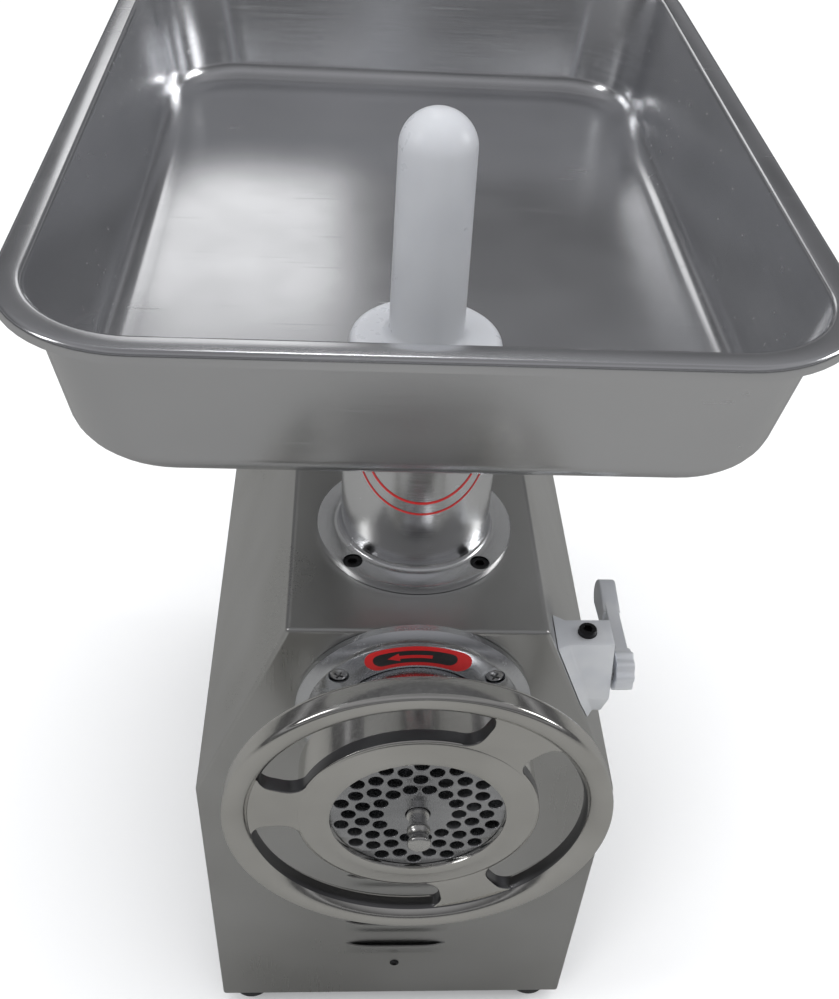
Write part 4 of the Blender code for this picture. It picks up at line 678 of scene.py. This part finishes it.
bright = finish(
    "bright_turned", ((0.78, 0.785, 0.80), (0.86, 0.865, 0.875)), (0.13, 0.26), stretch=(0.02, 0.02, 1),
    grain=2600.0, bump=0.08, patches=20.0, scratch=0.06, lathe="Z",
)
bright_face = finish(
    "bright_faced", ((0.62, 0.63, 0.65), (0.76, 0.77, 0.79)), (0.12, 0.25), grain=900.0, bump=0.05,
    patches=24.0, scratch=0.08, lathe="Y",
)
blackened = finish(
    "blackened_screw", ((0.035, 0.035, 0.037), (0.07, 0.07, 0.072)), (0.3, 0.5), grain=2500.0, bump=0.15,
)
zinc = finish("zinc_screw", ((0.42, 0.42, 0.43), (0.58, 0.58, 0.58)), (0.22, 0.4), grain=2500.0, bump=0.15)
red_ink = finish("red_ink", RED_INK, (0.35, 0.5), metal=0.0, grain=1200.0, bump=0.05)
tube = turned("feed_tube_turned", tube_profile(), (0, FEED_Y, TOP_Z), "Z", 128)
carve(tube, [plug(CAP_HEAD + 0.0004, -HEAD_TALL - 0.0004, 0.002, spot, "Z", 32) for spot in cap_places()])
show(tube, bright, "housing", "machined_aluminium", "feed_tube")


def socket_head(name, radius, tall, shank, length, centre, axis="Z", sides=6):
    """A cylinder head with a hexagon socket, lying just under the face it is sunk in."""
    profile = [
        (0, -0.0002), (radius - 0.0005, -0.0002), (radius - 0.0001, -0.0005), (radius, -0.0009),
        (radius, -tall), (shank, -tall), (shank, -length), (0, -length),
    ]
    head = turned(name, profile, centre, axis, 40, loop=False)
    carve(head, [plug(0.55 * radius, -0.0022, 0.001, centre, axis, sides)], smooth=30)
    return head


for index, spot in enumerate(cap_places(), 1):
    cap = socket_head(f"flange_cap_screw_{index}", CAP_HEAD, HEAD_TALL, 0.0020, 0.0095, spot)
    show(cap, blackened, "housing", "dark_fastener", f"feed_flange_screw_{index}")


def ring_mark(name, radius, width, height):
    """A printed ring, laid round the front of the tube and cut off at the tube's top."""
    shape = bmesh.new()
    loops = []
    for edge in (radius - 0.5 * width, radius + 0.5 * width):
        line = bmesh.ops.create_circle(shape, segments=128, radius=edge)["verts"]
        loops += {e for v in line for e in v.link_edges}
    bmesh.ops.bridge_loops(shape, edges=loops)
    everything = shape.verts[:] + shape.edges[:] + shape.faces[:]
    limit = TOP_Z + TUBE_TOP - 0.0012 - height
    bmesh.ops.bisect_plane(
        shape, geom=everything, plane_co=(0, limit, 0), plane_no=(0, 1, 0), clear_outer=True,
    )
    reach = TUBE + 0.00012
    for vert in shape.verts:
        turn = vert.co.x / TUBE
        vert.co = Vector((reach * math.sin(turn), FEED_Y - reach * math.cos(turn), height + vert.co.y))
    bmesh.ops.recalc_face_normals(shape, faces=shape.faces)
    axis = Vector((0, FEED_Y, height))
    if sum(f.normal.dot(f.calc_center_median() - axis) for f in shape.faces) < 0:
        bmesh.ops.reverse_faces(shape, faces=shape.faces)
    mark = piece_from(name, shape)
    ink = mark.modifiers.new("ink", "SOLIDIFY")
    ink.thickness = 0.0001
    ink.offset = 0
    settle(mark)
    return mark


MARK_Z = TOP_Z + 0.0715
for name, radius, width in (("tube_mark_outer", 0.0345, 0.0009), ("tube_mark_inner", 0.0285, 0.0011)):
    show(ring_mark(name, radius, width, MARK_Z), red_ink, "housing", "machined_aluminium")

# Head socket
# An aluminium casting with a faced flange, held on the front sheet by four cross screws.
# The barrel's neck slides into it. A red plate with a dark field and an arrow shows which way it turns.
FLANGE_FACE, FLANGE_BACK, FLANGE_FRONT, SPIGOT = 0.0503, 0.0544, -0.008, 0.0408
NECK = 0.035


def socket_profile():
    bore = NECK + 0.0003
    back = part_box("head_socket")[1][1] - FRONT_Y
    return [
        (bore, back), (bore, FLANGE_FRONT + 0.0008), (bore + 0.0008, FLANGE_FRONT),
        (FLANGE_FACE - 0.0006, FLANGE_FRONT), (FLANGE_FACE, FLANGE_FRONT + 0.0002),
        (FLANGE_BACK - 0.0006, FLANGE_FRONT + 0.0036), (FLANGE_BACK, FLANGE_FRONT + 0.0044),
        (FLANGE_BACK, -0.0003), (SPIGOT, -0.0003), (SPIGOT, back),
    ]


def flat_plate(name, outlines, front, thick, edge, centre, resolution=3):
    """A flat plate facing the operator, from closed (across, up) outlines, with eased edges."""
    curve = bpy.data.curves.new(name, "CURVE")
    curve.dimensions = "2D"
    curve.fill_mode = "BOTH"
    curve.extrude = 0.5 * thick - edge
    curve.bevel_depth = edge
    curve.bevel_resolution = resolution
    curve.offset = -edge
    for outline in outlines:
        spline = curve.splines.new("POLY")
        spline.points.add(len(outline) - 1)
        for point, (x, z) in zip(spline.points, outline):
            point.co = (x, z, 0, 1)
        spline.use_cyclic_u = True
    flat = bpy.data.objects.new(name, curve)
    bpy.context.scene.collection.objects.link(flat)
    shape = bmesh.new()
    shape.from_mesh(
        bpy.data.meshes.new_from_object(flat.evaluated_get(bpy.context.evaluated_depsgraph_get()))
    )
    bpy.data.objects.remove(flat)
    bmesh.ops.remove_doubles(shape, verts=shape.verts, dist=1e-6)
    upright = Matrix.Rotation(math.pi / 2, 4, "X")
    place = Matrix.Translation(Vector(centre) + Vector((0, front + 0.5 * thick, 0)))
    bmesh.ops.transform(shape, verts=shape.verts, matrix=place @ upright)
    bmesh.ops.recalc_face_normals(shape, faces=shape.faces)
    return piece_from(name, shape)


def bent_bar(middle, half, first, last):
    """A bar with round ends, bent along a circle about the axis."""
    ends = [(middle * math.cos(math.radians(a)), middle * math.sin(math.radians(a))) for a in (first, last)]
    return (
        arc(middle + half, first, last, 24) + arc(half, last, last + 180, 10, ends[1])[1:-1]
        + arc(middle - half, last, first, 24) + arc(half, first + 180, first + 360, 10, ends[0])[1:-1]
    )


def cross_head(name, centre, radius, domed, length, axis):
    """A pan head with a cross recess and a plain shank behind it."""
    profile = [(0, -domed)]
    for step in range(1, 7):
        angle = math.radians(15 * step)
        profile.append((radius * math.sin(angle), -domed * math.cos(angle)))
    profile += [(radius, 0.0006), (0.5 * radius, 0.0006), (0.5 * radius, length), (0, length)]
    head = turned(name, profile, centre, axis, 40, loop=False)
    arm, slot, deep = 0.55 * radius, 0.13 * radius, 0.6 * domed + 0.0005
    x, y, z = centre
    cutters = [
        block((x - arm, y - 2 * domed, z - slot), (x + arm, y - domed + deep, z + slot)),
        block((x - slot, y - 2 * domed, z - arm), (x + slot, y - domed + deep, z + arm)),
    ]
    for cutter in cutters:
        shape = bmesh.new()
        shape.from_mesh(cutter.data)
        swing = Matrix.Rotation(math.radians(28), 4, "Y")
        turn = Matrix.Translation(centre) @ swing @ Matrix.Translation(-Vector(centre))
        bmesh.ops.transform(shape, matrix=turn, verts=shape.verts)
        shape.to_mesh(cutter.data)
        shape.free()
    carve(head, cutters, smooth=30)
    return head


socket = turned("socket_casting", socket_profile(), (0, FRONT_Y, AXIS_Z), "Y", 128)
holes = [
    plug(0.0046, FLANGE_FRONT - 0.001, FLANGE_FRONT + 0.0036, (x, FRONT_Y, AXIS_Z + z), "Y", 32)
    for x, z in SCREW_PLACES
]
throat = plug(FEED_BORE, 0.02, 0.06, (0, FEED_Y, AXIS_Z), "Z")
carve(socket, holes + [throat])
show(socket, bright_face, "housing", "machined_aluminium", "head_socket")
for index in range(1, 5):
    low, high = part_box(f"socket_screw_{index}")
    centre = (0.5 * (low[0] + high[0]), FRONT_Y + FLANGE_FRONT + 0.0014, 0.5 * (low[2] + high[2]))
    screw = cross_head(f"socket_cross_screw_{index}", centre, 0.0041, 0.0013, 0.010, "Y")
    show(screw, zinc, "housing", "dark_fastener", f"socket_screw_{index}")
low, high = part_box("front_panel_screw")
centre = (0.5 * (low[0] + high[0]), FRONT_Y - 0.0003, 0.5 * (low[2] + high[2]))
show(
    cross_head("front_sheet_screw", centre, 0.0027, 0.0010, 0.006, "Y"), blackened, "housing",
    "dark_fastener", "front_panel_screw",
)

PLATE_MIDDLE, PLATE_HALF = 0.0432, 0.0058
plate_place = (0, FRONT_Y, AXIS_Z)
backing = flat_plate(
    "turn_mark_plate", [bent_bar(PLATE_MIDDLE, PLATE_HALF, 66, 114)], FLANGE_FRONT - 0.0003, 0.0003,
    0.00005, plate_place,
)
show(backing, red_ink, "housing", "machined_aluminium")
black_ink = finish(
    "black_ink", ((0.012, 0.012, 0.012), (0.02, 0.02, 0.02)), (0.4, 0.55), metal=0.0, grain=1200.0,
    bump=0.05,
)
inlay = flat_plate(
    "turn_mark_field", [bent_bar(PLATE_MIDDLE, 0.0036, 72, 112)], FLANGE_FRONT - 0.0004, 0.0002, 0.00003,
    plate_place,
)
show(inlay, black_ink, "housing", "machined_aluminium")
tip = [
    (PLATE_MIDDLE + r, a)
    for r, a in (
        (0.0, 108), (0.0024, 101), (0.0009, 101), (0.0009, 82), (-0.0009, 82), (-0.0009, 101),
        (-0.0024, 101),
    )
]
outline = []
for (r0, a0), (r1, a1) in zip(tip, tip[1:] + tip[:1]):
    for step in range(6):
        share = step / 6
        angle = math.radians(a0 + (a1 - a0) * share)
        outline.append(
            ((r0 + (r1 - r0) * share) * math.cos(angle), (r0 + (r1 - r0) * share) * math.sin(angle))
        )
arrow = flat_plate("turn_mark_arrow", [outline[::-1]], FLANGE_FRONT - 0.00048, 0.0002, 0.00002, plate_place)
show(arrow, red_ink, "housing", "machined_aluminium")

# Grinding barrel
# Cast in one with its inlet and its bell, machined where it fits the socket, the knife and the plate.
# The feed screw, its washer, pin and knife turn inside it and drop out of its front.
BELL, BELL_WALL, BELL_BACK = 0.046, 0.0047, -0.032


def barrel_profile():
    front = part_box("grinder_barrel")[0][1] - FRONT_Y
    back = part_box("grinder_barrel")[1][1] - FRONT_Y
    bore = BELL - BELL_WALL
    points = [
        (bore, front + 0.0006), (bore + 0.0006, front), (BELL - 0.0006, front), (BELL, front + 0.0006),
        (BELL, BELL_BACK - 0.002),
    ]
    points += [
        (BELL - 0.0008, BELL_BACK), (NECK + 0.003, BELL_BACK + 0.008), (NECK + 0.0006, BELL_BACK + 0.0105),
        (NECK, BELL_BACK + 0.014),
    ]
    points += [
        (NECK, back - 0.001), (NECK - 0.001, back), (0.0145, back), (0.0145, back - 0.006),
        (0.030, back - 0.006),
    ]
    return points + [(0.030, front + 0.026), (bore, front + 0.018)]


cast_bright = finish(
    "cast_bright", ((0.62, 0.63, 0.65), (0.76, 0.765, 0.78)), (0.16, 0.30), grain=1300.0, bump=0.12,
    patches=26.0, lathe="Y",
)
barrel = turned("barrel_casting", barrel_profile(), (0, FRONT_Y, AXIS_Z), "Y", 128)
carve(barrel, [plug(0.026, 0.005, 0.045, (0, FEED_Y, AXIS_Z), "Z")])
show(barrel, cast_bright, "barrel", "machined_aluminium", "grinder_barrel")

# Cutting plate and pin
# The plate is ground tool steel with four rings of lightly countersunk holes. A stud in the feed
# screw's end runs through its middle and ends in a turned collar, a waist and a flat nose.
PLATE_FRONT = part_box("cutting_plate")[0][1] - FRONT_Y
PLATE_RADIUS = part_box("cutting_plate")[1][0]
PLATE_THICK, HOLE, HOLES_ROUND, FIRST_RING, PITCH = 0.008, 0.0031, 14, 0.0176, 0.008


def hole_rings():
    """Each ring is half a step round and one pitch out from the last."""
    half_step = math.pi / HOLES_ROUND
    radii = [FIRST_RING]
    for _ in range(3):
        across = radii[-1] * math.sin(half_step)
        radii.append(radii[-1] * math.cos(half_step) + math.sqrt(PITCH**2 - across**2))
    return radii


def make_plate():
    outlines = [arc(PLATE_RADIUS - 0.0001, 0, 360, 120)[:-1], arc(0.0053, 0, 360, 32)[:-1]]
    for ring, radius in enumerate(hole_rings()):
        for index in range(HOLES_ROUND):
            angle = 2 * math.pi * (index + 0.5 * (ring % 2)) / HOLES_ROUND
            outlines.append(arc(HOLE, 0, 360, 24, (radius * math.cos(angle), radius * math.sin(angle)))[:-1])
    return flat_plate("ground_plate", outlines, PLATE_FRONT, PLATE_THICK, 0.00045, (0, FRONT_Y, AXIS_Z), 2)


ground = finish(
    "ground_steel", ((0.44, 0.445, 0.46), (0.56, 0.565, 0.58)), (0.22, 0.36), stretch=(1, 1, 0.15),
    grain=1800.0, bump=0.12, patches=40.0, scratch=0.12,
)
mirror = finish(
    "mirror_polish", ((0.66, 0.65, 0.62), (0.74, 0.73, 0.70)), (0.09, 0.20), grain=500.0, bump=0.012,
    patches=25.0, scratch=0.05,
)
show(make_plate(), ground, "plate", "tool_steel", "cutting_plate")


def pin_profile():
    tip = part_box("auger_pin")[0][1] - FRONT_Y
    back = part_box("auger_pin")[1][1] - FRONT_Y
    points = [(0, tip), (0.0040, tip), (0.0046, tip + 0.0003), (0.0050, tip + 0.0009), (0.0050, tip + 0.0018)]
    for step in range(1, 10):
        angle = math.pi * step / 10
        points.append((0.0050 - 0.0010 * math.sin(angle), tip + 0.0018 + 0.0052 * step / 10))
    points += [(0.0050, tip + 0.0070), (0.0050, tip + 0.0083), (0.0046, tip + 0.0089), (0.0038, tip + 0.0093)]
    return points + [
        (0.0038, PLATE_FRONT - 0.001), (0.0049, PLATE_FRONT - 0.001), (0.0049, back - 0.001),
        (0.0040, back), (0, back),
    ]


pin = turned("turned_pin", pin_profile(), (0, FRONT_Y, AXIS_Z), "Y", 64, loop=False)
pin_satin = finish(
    "pin_satin", ((0.66, 0.655, 0.64), (0.78, 0.775, 0.76)), (0.20, 0.32), grain=1600.0, bump=0.02,
    patches=60.0,
)
show(pin, pin_satin, "auger", "polished_steel", "auger_pin")

# Ring nut
# A hand wheel and nut in one: cast stainless, polished by hand all over. The hub screws onto the
# barrel's bell and its lip holds the plate; three short spokes leave room for fingers.
HUB_FACE = -0.0626
RING_RADIUS, RIM_WIDTH, RIM_THICK, RIM_PROUD = 0.0824, 0.0099, 0.0135, 0.0036
APERTURE, HUB, HUB_LONG, HUB_LIP, THREAD = 0.0372, 0.0513, 0.027, 0.0024, 0.0463
SPOKES, SPOKE_ANGLE, SLOT_CORNER = (54.0, 174.0, 294.0), 24.0, 0.0075


def rim_profile():
    """A broad, nearly flat front band that rises from the web, with a tight outer edge and a rounded back."""
    inner = RING_RADIUS - RIM_WIDTH
    front = HUB_FACE - RIM_PROUD
    back = front + RIM_THICK
    points = [
        (inner - 0.0016, HUB_FACE + 0.0024), (inner - 0.0006, HUB_FACE + 0.0004),
        (inner + 0.0008, HUB_FACE - 0.0016),
    ]
    points += [
        (inner + 0.0022, front + 0.0010), (inner + 0.0036, front + 0.0004), (inner + 0.0054, front),
        (RING_RADIUS - 0.0030, front + 0.0002),
    ]
    points += arc(0.0028, -80, 0, 8, (RING_RADIUS - 0.0028, front + 0.0030))[1:]
    points += arc(0.0042, 0, 90, 8, (RING_RADIUS - 0.0042, back - 0.0042))
    return points + [
        (inner + 0.0036, back), (inner + 0.0004, back - 0.0014), (inner - 0.0016, HUB_FACE + 0.0062),
    ]


def hub_profile():
    face, back = HUB_FACE, HUB_FACE + HUB_LONG
    points = [
        (APERTURE, face + 0.0008), (APERTURE + 0.0003, face + 0.0002), (APERTURE + 0.0009, face),
        (0.0418, face),
    ]
    points += [
        (0.0424, face + 0.0003), (0.0490, face + 0.0004), (HUB - 0.0008, face + 0.0007),
        (HUB, face + 0.0016),
    ]
    points += [(HUB, back - 0.0012), (HUB - 0.0012, back), (THREAD + 0.0005, back), (THREAD, back - 0.0005)]
    return points + [(THREAD, face + HUB_LIP), (APERTURE, face + HUB_LIP)]


def slot_outline(first, last):
    """One finger slot, drawn as a rectangle with rounded corners and then bent about the axis."""
    inner, outer = HUB + 0.0004, RING_RADIUS - RIM_WIDTH - 0.0004
    middle, high = 0.5 * (inner + outer), 0.5 * (outer - inner)
    wide = 0.5 * math.radians(last - first) * middle
    flat = []
    for side_x, side_y, start in ((1, 1, 0), (-1, 1, 90), (-1, -1, 180), (1, -1, 270)):
        corner = (side_x * (wide - SLOT_CORNER), side_y * (high - SLOT_CORNER))
        flat += arc(SLOT_CORNER, start, start + 90, 7, corner)
        if start in (0, 180):
            flat += [(corner[0] * (1 - step / 12), side_y * high) for step in range(1, 24)]
    turn = math.radians(0.5 * (first + last))
    return [
        ((middle + y) * math.cos(turn - x / middle), (middle + y) * math.sin(turn - x / middle))
        for x, y in flat
    ]


def make_ring():
    start = [a + 0.5 * SPOKE_ANGLE for a in SPOKES]
    outlines = [arc(RING_RADIUS - RIM_WIDTH + 0.003, 0, 360, 144)[:-1], arc(HUB - 0.0015, 0, 360, 120)[:-1]]
    for first in start:
        outlines.append(slot_outline(first, first + 120 - SPOKE_ANGLE))
    web = flat_plate(
        "ring_nut_polished", outlines, HUB_FACE + 0.0008, 0.0070, 0.0011, (0, FRONT_Y, AXIS_Z), 3,
    )
    hub = turned("hub", hub_profile(), (0, FRONT_Y, AXIS_Z), "Y", 144)
    rim = turned("rim", rim_profile(), (0, FRONT_Y, AXIS_Z), "Y", 144)
    carve(web, [hub, rim], "UNION", smooth=38)
    return web


ring = make_ring()
show(ring, mirror, "ring", "polished_steel", "ring_nut")
# The slots' walls face the shaded inside of the wheel, so they get painted shade: a dark colour of their own
# in place of the polished steel.
slot_wall_painted_shade = finish(
    "slot_wall_painted_shade", ((0.15, 0.15, 0.155), (0.18, 0.18, 0.185)), (0.30, 0.34), grain=200.0, bump=0.01,
    patches=20.0,
)
ring.data.materials.append(slot_wall_painted_shade)
# Painted shade: the side walls of the finger slots, towards the wheel's front, take the dark colour.
for face in ring.data.polygons:
    reach = math.hypot(face.center.x, face.center.z - AXIS_Z)
    inside = HUB + 0.0002 < reach < RING_RADIUS - RIM_WIDTH
    if inside and abs(face.normal.y) < 0.6 and face.center.y < FRONT_Y + HUB_FACE + 0.009:
        face.material_index = 1

# Side clamp
# A cast aluminium block on the right shoulder. A screw with a cast lever runs through it and presses
# a brass pad on the barrel's neck, and a cup-point screw in its top stops the clamp's screw.
BLOCK_REACH, BLOCK_UP, BLOCK_DOWN, BLOCK_HALF, BLOCK_NOSE = 0.0925, 0.025, 0.024, 0.008, 0.012
LEVER_THICK, LEVER_HUB, LEVER_END, LEVER_LONG = 0.0088, 0.0100, 0.0080, 0.050


def shoulder_x(z):
    return HALF_WIDTH - (HALF_WIDTH - HALF_TOP) * (z - SHOULDER_Z) / (TOP_Z - SHOULDER_Z)


def make_clamp_block():
    """A flared skirt on the shoulder, then a faceted body that narrows towards its lower end."""
    top, bottom = CLAMP_Z + BLOCK_UP, CLAMP_Z - BLOCK_DOWN
    skirt = [(shoulder_x(top) + 0.0004, top), (shoulder_x(bottom - 0.003) + 0.0004, bottom - 0.003)]
    waist = [(shoulder_x(top) + 0.0058, top - 0.0004), (shoulder_x(bottom) + 0.0036, bottom)]
    reach = [(BLOCK_REACH - 0.0035, top), (BLOCK_REACH - 0.0015, bottom)]
    shape = bmesh.new()
    rings = []
    for (upper, lower), half in ((skirt, BLOCK_HALF + 0.0030), (waist, BLOCK_HALF), (reach, BLOCK_HALF)):
        corners = [(upper, -half), (upper, half), (lower, half), (lower, -half)]
        ring = [shape.verts.new((x, CLAMP_Y + side, z)) for (x, z), side in corners]
        rings.append([shape.edges.new((ring[i], ring[(i + 1) % 4])) for i in range(4)])
    bmesh.ops.bridge_loops(shape, edges=rings[0] + rings[1])
    bmesh.ops.bridge_loops(shape, edges=rings[1] + rings[2])
    bmesh.ops.holes_fill(shape, edges=shape.edges, sides=4)
    everything = shape.verts[:] + shape.edges[:] + shape.faces[:]
    bmesh.ops.bisect_plane(shape, geom=everything, plane_co=(0, 0, bottom + BLOCK_NOSE), plane_no=(0, 0, 1))
    for vert in shape.verts:
        if vert.co.z < bottom + 1e-5:
            vert.co.y = CLAMP_Y + 0.58 * (vert.co.y - CLAMP_Y)
        elif vert.co.z < bottom + BLOCK_NOSE + 1e-5 and vert.co.x > BLOCK_REACH - 0.004:
            vert.co.x = BLOCK_REACH
    bmesh.ops.recalc_face_normals(shape, faces=shape.faces)
    crisp = [
        e for e in shape.edges if len(e.link_faces) == 2 and e.calc_face_angle(0) > 0.15
        and max(v.co.x - shoulder_x(v.co.z) for v in e.verts) > 0.002
    ]
    bevel(shape, crisp, 0.0007, 2)
    cast = piece_from("clamp_block_cast", shape, 24)
    set_x = 0.5 * (shoulder_x(top) + BLOCK_REACH)
    carve(cast, [
        plug(0.0053, 0.04, 0.12, (0, CLAMP_Y, CLAMP_Z), "X", 40),
        plug(0.0044, -0.010, 0.002, (set_x, CLAMP_Y, top), "Z", 32),
    ], smooth=24)
    return cast, set_x, top


def make_lever():
    """A scalloped hub, a flat arm and a thicker end, cast in one."""
    hub = []
    for step in range(96):
        angle = 2 * math.pi * step / 96
        radius = LEVER_HUB - 0.0006 + 0.0006 * math.cos(9 * angle)
        hub.append((radius * math.cos(angle), radius * math.sin(angle)))
    arm = [(0, 0.0072)] + arc(0.0058, 90, -90, 14, (LEVER_LONG, 0)) + [(0, -0.0072)]
    neck = LEVER_LONG - 0.017
    end = [(neck, 0.0052)] + arc(LEVER_END, 75, -75, 18, (LEVER_LONG, 0)) + [(neck, -0.0052)]
    parts = [
        flat_plate("lever_cast", [[(-x, z) for x, z in hub][::-1]], 0, LEVER_THICK, 0.0008, (0, 0, 0)),
        flat_plate("arm", [[(-x, z) for x, z in arm][::-1]], 0.0014, LEVER_THICK - 0.0026, 0.0009, (0, 0, 0)),
        flat_plate("end", [[(-x, z) for x, z in end][::-1]], 0.0002, LEVER_THICK - 0.0004, 0.0009, (0, 0, 0)),
    ]
    carve(parts[0], parts[1:], "UNION", smooth=40)
    shape = bmesh.new()
    shape.from_mesh(parts[0].data)
    quarter = Matrix.Rotation(-math.pi / 2, 4, "Z")
    place = Matrix.Translation((BLOCK_REACH + 0.0005, CLAMP_Y, CLAMP_Z)) @ quarter
    bmesh.ops.transform(shape, matrix=place, verts=shape.verts)
    shape.to_mesh(parts[0].data)
    shape.free()
    return parts[0]


cast_grey = finish(
    "cast_grey", ((0.78, 0.80, 0.84), (0.86, 0.875, 0.90)), (0.33, 0.40), metal=0.6, grain=240.0, bump=0.05,
    depth=0.0002, patches=60.0,
)
clamp_cast, set_x, clamp_top = make_clamp_block()
show(clamp_cast, cast_grey, "housing", "cast_aluminium", "clamp_block")
show(make_lever(), cast_grey, "lever", "cast_aluminium", "clamp_lever")
set_screw = socket_head(
    "clamp_cup_screw", 0.0041, 0.0090, 0.0030, 0.0095, (set_x, CLAMP_Y, clamp_top + 0.0024),
)
show(set_screw, blackened, "housing", "dark_fastener", "clamp_set_screw")

# Controls
# A black moulded plate on the right side carries a green start button and a red stop button,
# each a dished cap in a raised collar. The switch itself is a sealed box inside the wall.
CAP_RADIUS, CAP_EDGE = 0.0102, 0.0012


def cap_profile(proud, back):
    """A dished cap with a rounded edge, on its stem."""
    points = [(0, proud - 0.0008), (0.004, proud - 0.0007), (0.0072, proud - 0.0002)]
    points += arc(CAP_EDGE, 90, 0, 6, (CAP_RADIUS - CAP_EDGE, proud - CAP_EDGE))
    return points + [(CAP_RADIUS, back + 0.008), (0.004, back + 0.008), (0.004, back), (0, back)]


green = finish(
    "green_cap", ((0.010, 0.23, 0.055), (0.016, 0.29, 0.075)), (0.22, 0.34), metal=0.0, grain=2200.0,
    bump=0.08, patches=90.0,
)
red = finish(
    "red_cap", ((0.42, 0.014, 0.012), (0.50, 0.022, 0.018)), (0.22, 0.34), metal=0.0, grain=2200.0,
    bump=0.08, patches=90.0,
)
plate_low, plate_high = (Vector(c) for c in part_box("switch_plate"))
shape = bmesh.new()
bmesh.ops.create_cube(shape, size=1)
bmesh.ops.scale(shape, vec=plate_high - plate_low, verts=shape.verts)
bmesh.ops.translate(shape, vec=0.5 * (plate_low + plate_high), verts=shape.verts)
bevel(shape, [e for e in shape.edges if abs(e.verts[0].co.x - e.verts[1].co.x) > 1e-4], 0.005, 6)
bevel(shape, [e for e in shape.edges if all(v.co.x > plate_high.x - 1e-5 for v in e.verts)], 0.0007, 3)
switch_plate = piece_from("switch_surround", shape)
collars = []
for y in BUTTON_SPOTS:
    profile = [
        (0.0108, -0.001), (0.0108, 0.0016), (0.0112, 0.0022), (0.0122, 0.0022), (0.0130, 0.0012),
        (0.0134, -0.0005), (0.0134, -0.001),
    ]
    collars.append(turned("collar", profile, (plate_high.x, y, BUTTON_Z), "X", 64))
carve(switch_plate, [plug(0.0109, -0.01, 0.01, (plate_high.x, y, BUTTON_Z), "X", 64) for y in BUTTON_SPOTS])
carve(switch_plate, collars, "UNION")
show(switch_plate, plastic_black, "housing", "black_plastic", "switch_plate")
for node, colour, slot in (("start_button", green, "green_plastic"), ("stop_button", red, "red_plastic")):
    low, high = (Vector(c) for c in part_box(node))
    spot = (high.x, 0.5 * (low.y + high.y), BUTTON_Z)
    cap = turned(node + "_cap", cap_profile(0.0, low.x - high.x), spot, "X", 64, loop=False)
    show(cap, colour, node, slot, node)

# Gear train, motor and the other inner parts
# These keep the machine's own solids: the gearbox casting, ground shafts and gears, the laminated
# stator with its winding, bearings, seal, bracket and capacitor, each in its own finish.
INNER = {
    "satin_steel": satin, "cast_aluminium": cast_grey, "machined_aluminium": bright_face,
    "polished_steel": mirror, "tool_steel": ground, "dark_fastener": blackened,
    "black_plastic": plastic_black,
    "gear_steel": finish(
        "cut_gear_steel", ((0.30, 0.30, 0.31), (0.42, 0.42, 0.43)), (0.26, 0.42), grain=1400.0, bump=0.15,
    ),
    "bearing_steel": finish(
        "bearing_steel", ((0.60, 0.60, 0.62), (0.70, 0.70, 0.72)), (0.10, 0.2), grain=1800.0, bump=0.05,
    ),
    "brass": finish(
        "brass_pad", ((0.60, 0.43, 0.16), (0.72, 0.54, 0.24)), (0.2, 0.36), grain=900.0, bump=0.1,
    ),
    "motor_paint": finish(
        "motor_enamel", ((0.03, 0.035, 0.04), (0.05, 0.055, 0.06)), (0.35, 0.5), metal=0.0, grain=700.0,
        bump=0.2,
    ),
    "copper_winding": finish(
        "enamelled_copper", ((0.45, 0.14, 0.04), (0.62, 0.22, 0.07)), (0.25, 0.4), stretch=(1, 0.1, 1),
        grain=1500.0, bump=0.5, depth=0.0004,
    ),
    "black_rubber": rubber, "white_plastic": waxy,
    "capacitor_shell": finish(
        "capacitor_shell", ((0.68, 0.68, 0.66), (0.78, 0.78, 0.76)), (0.3, 0.45), metal=0.0, grain=900.0,
        bump=0.05,
    ),
}
for part in frame["record"]["subparts"]:
    name, slot = part["node"], part["material_slot"]
    if slot in INNER:
        solid = frame["nodes"][name]
        solid.data.materials.clear()
        solid.data.materials.append(INNER[slot])
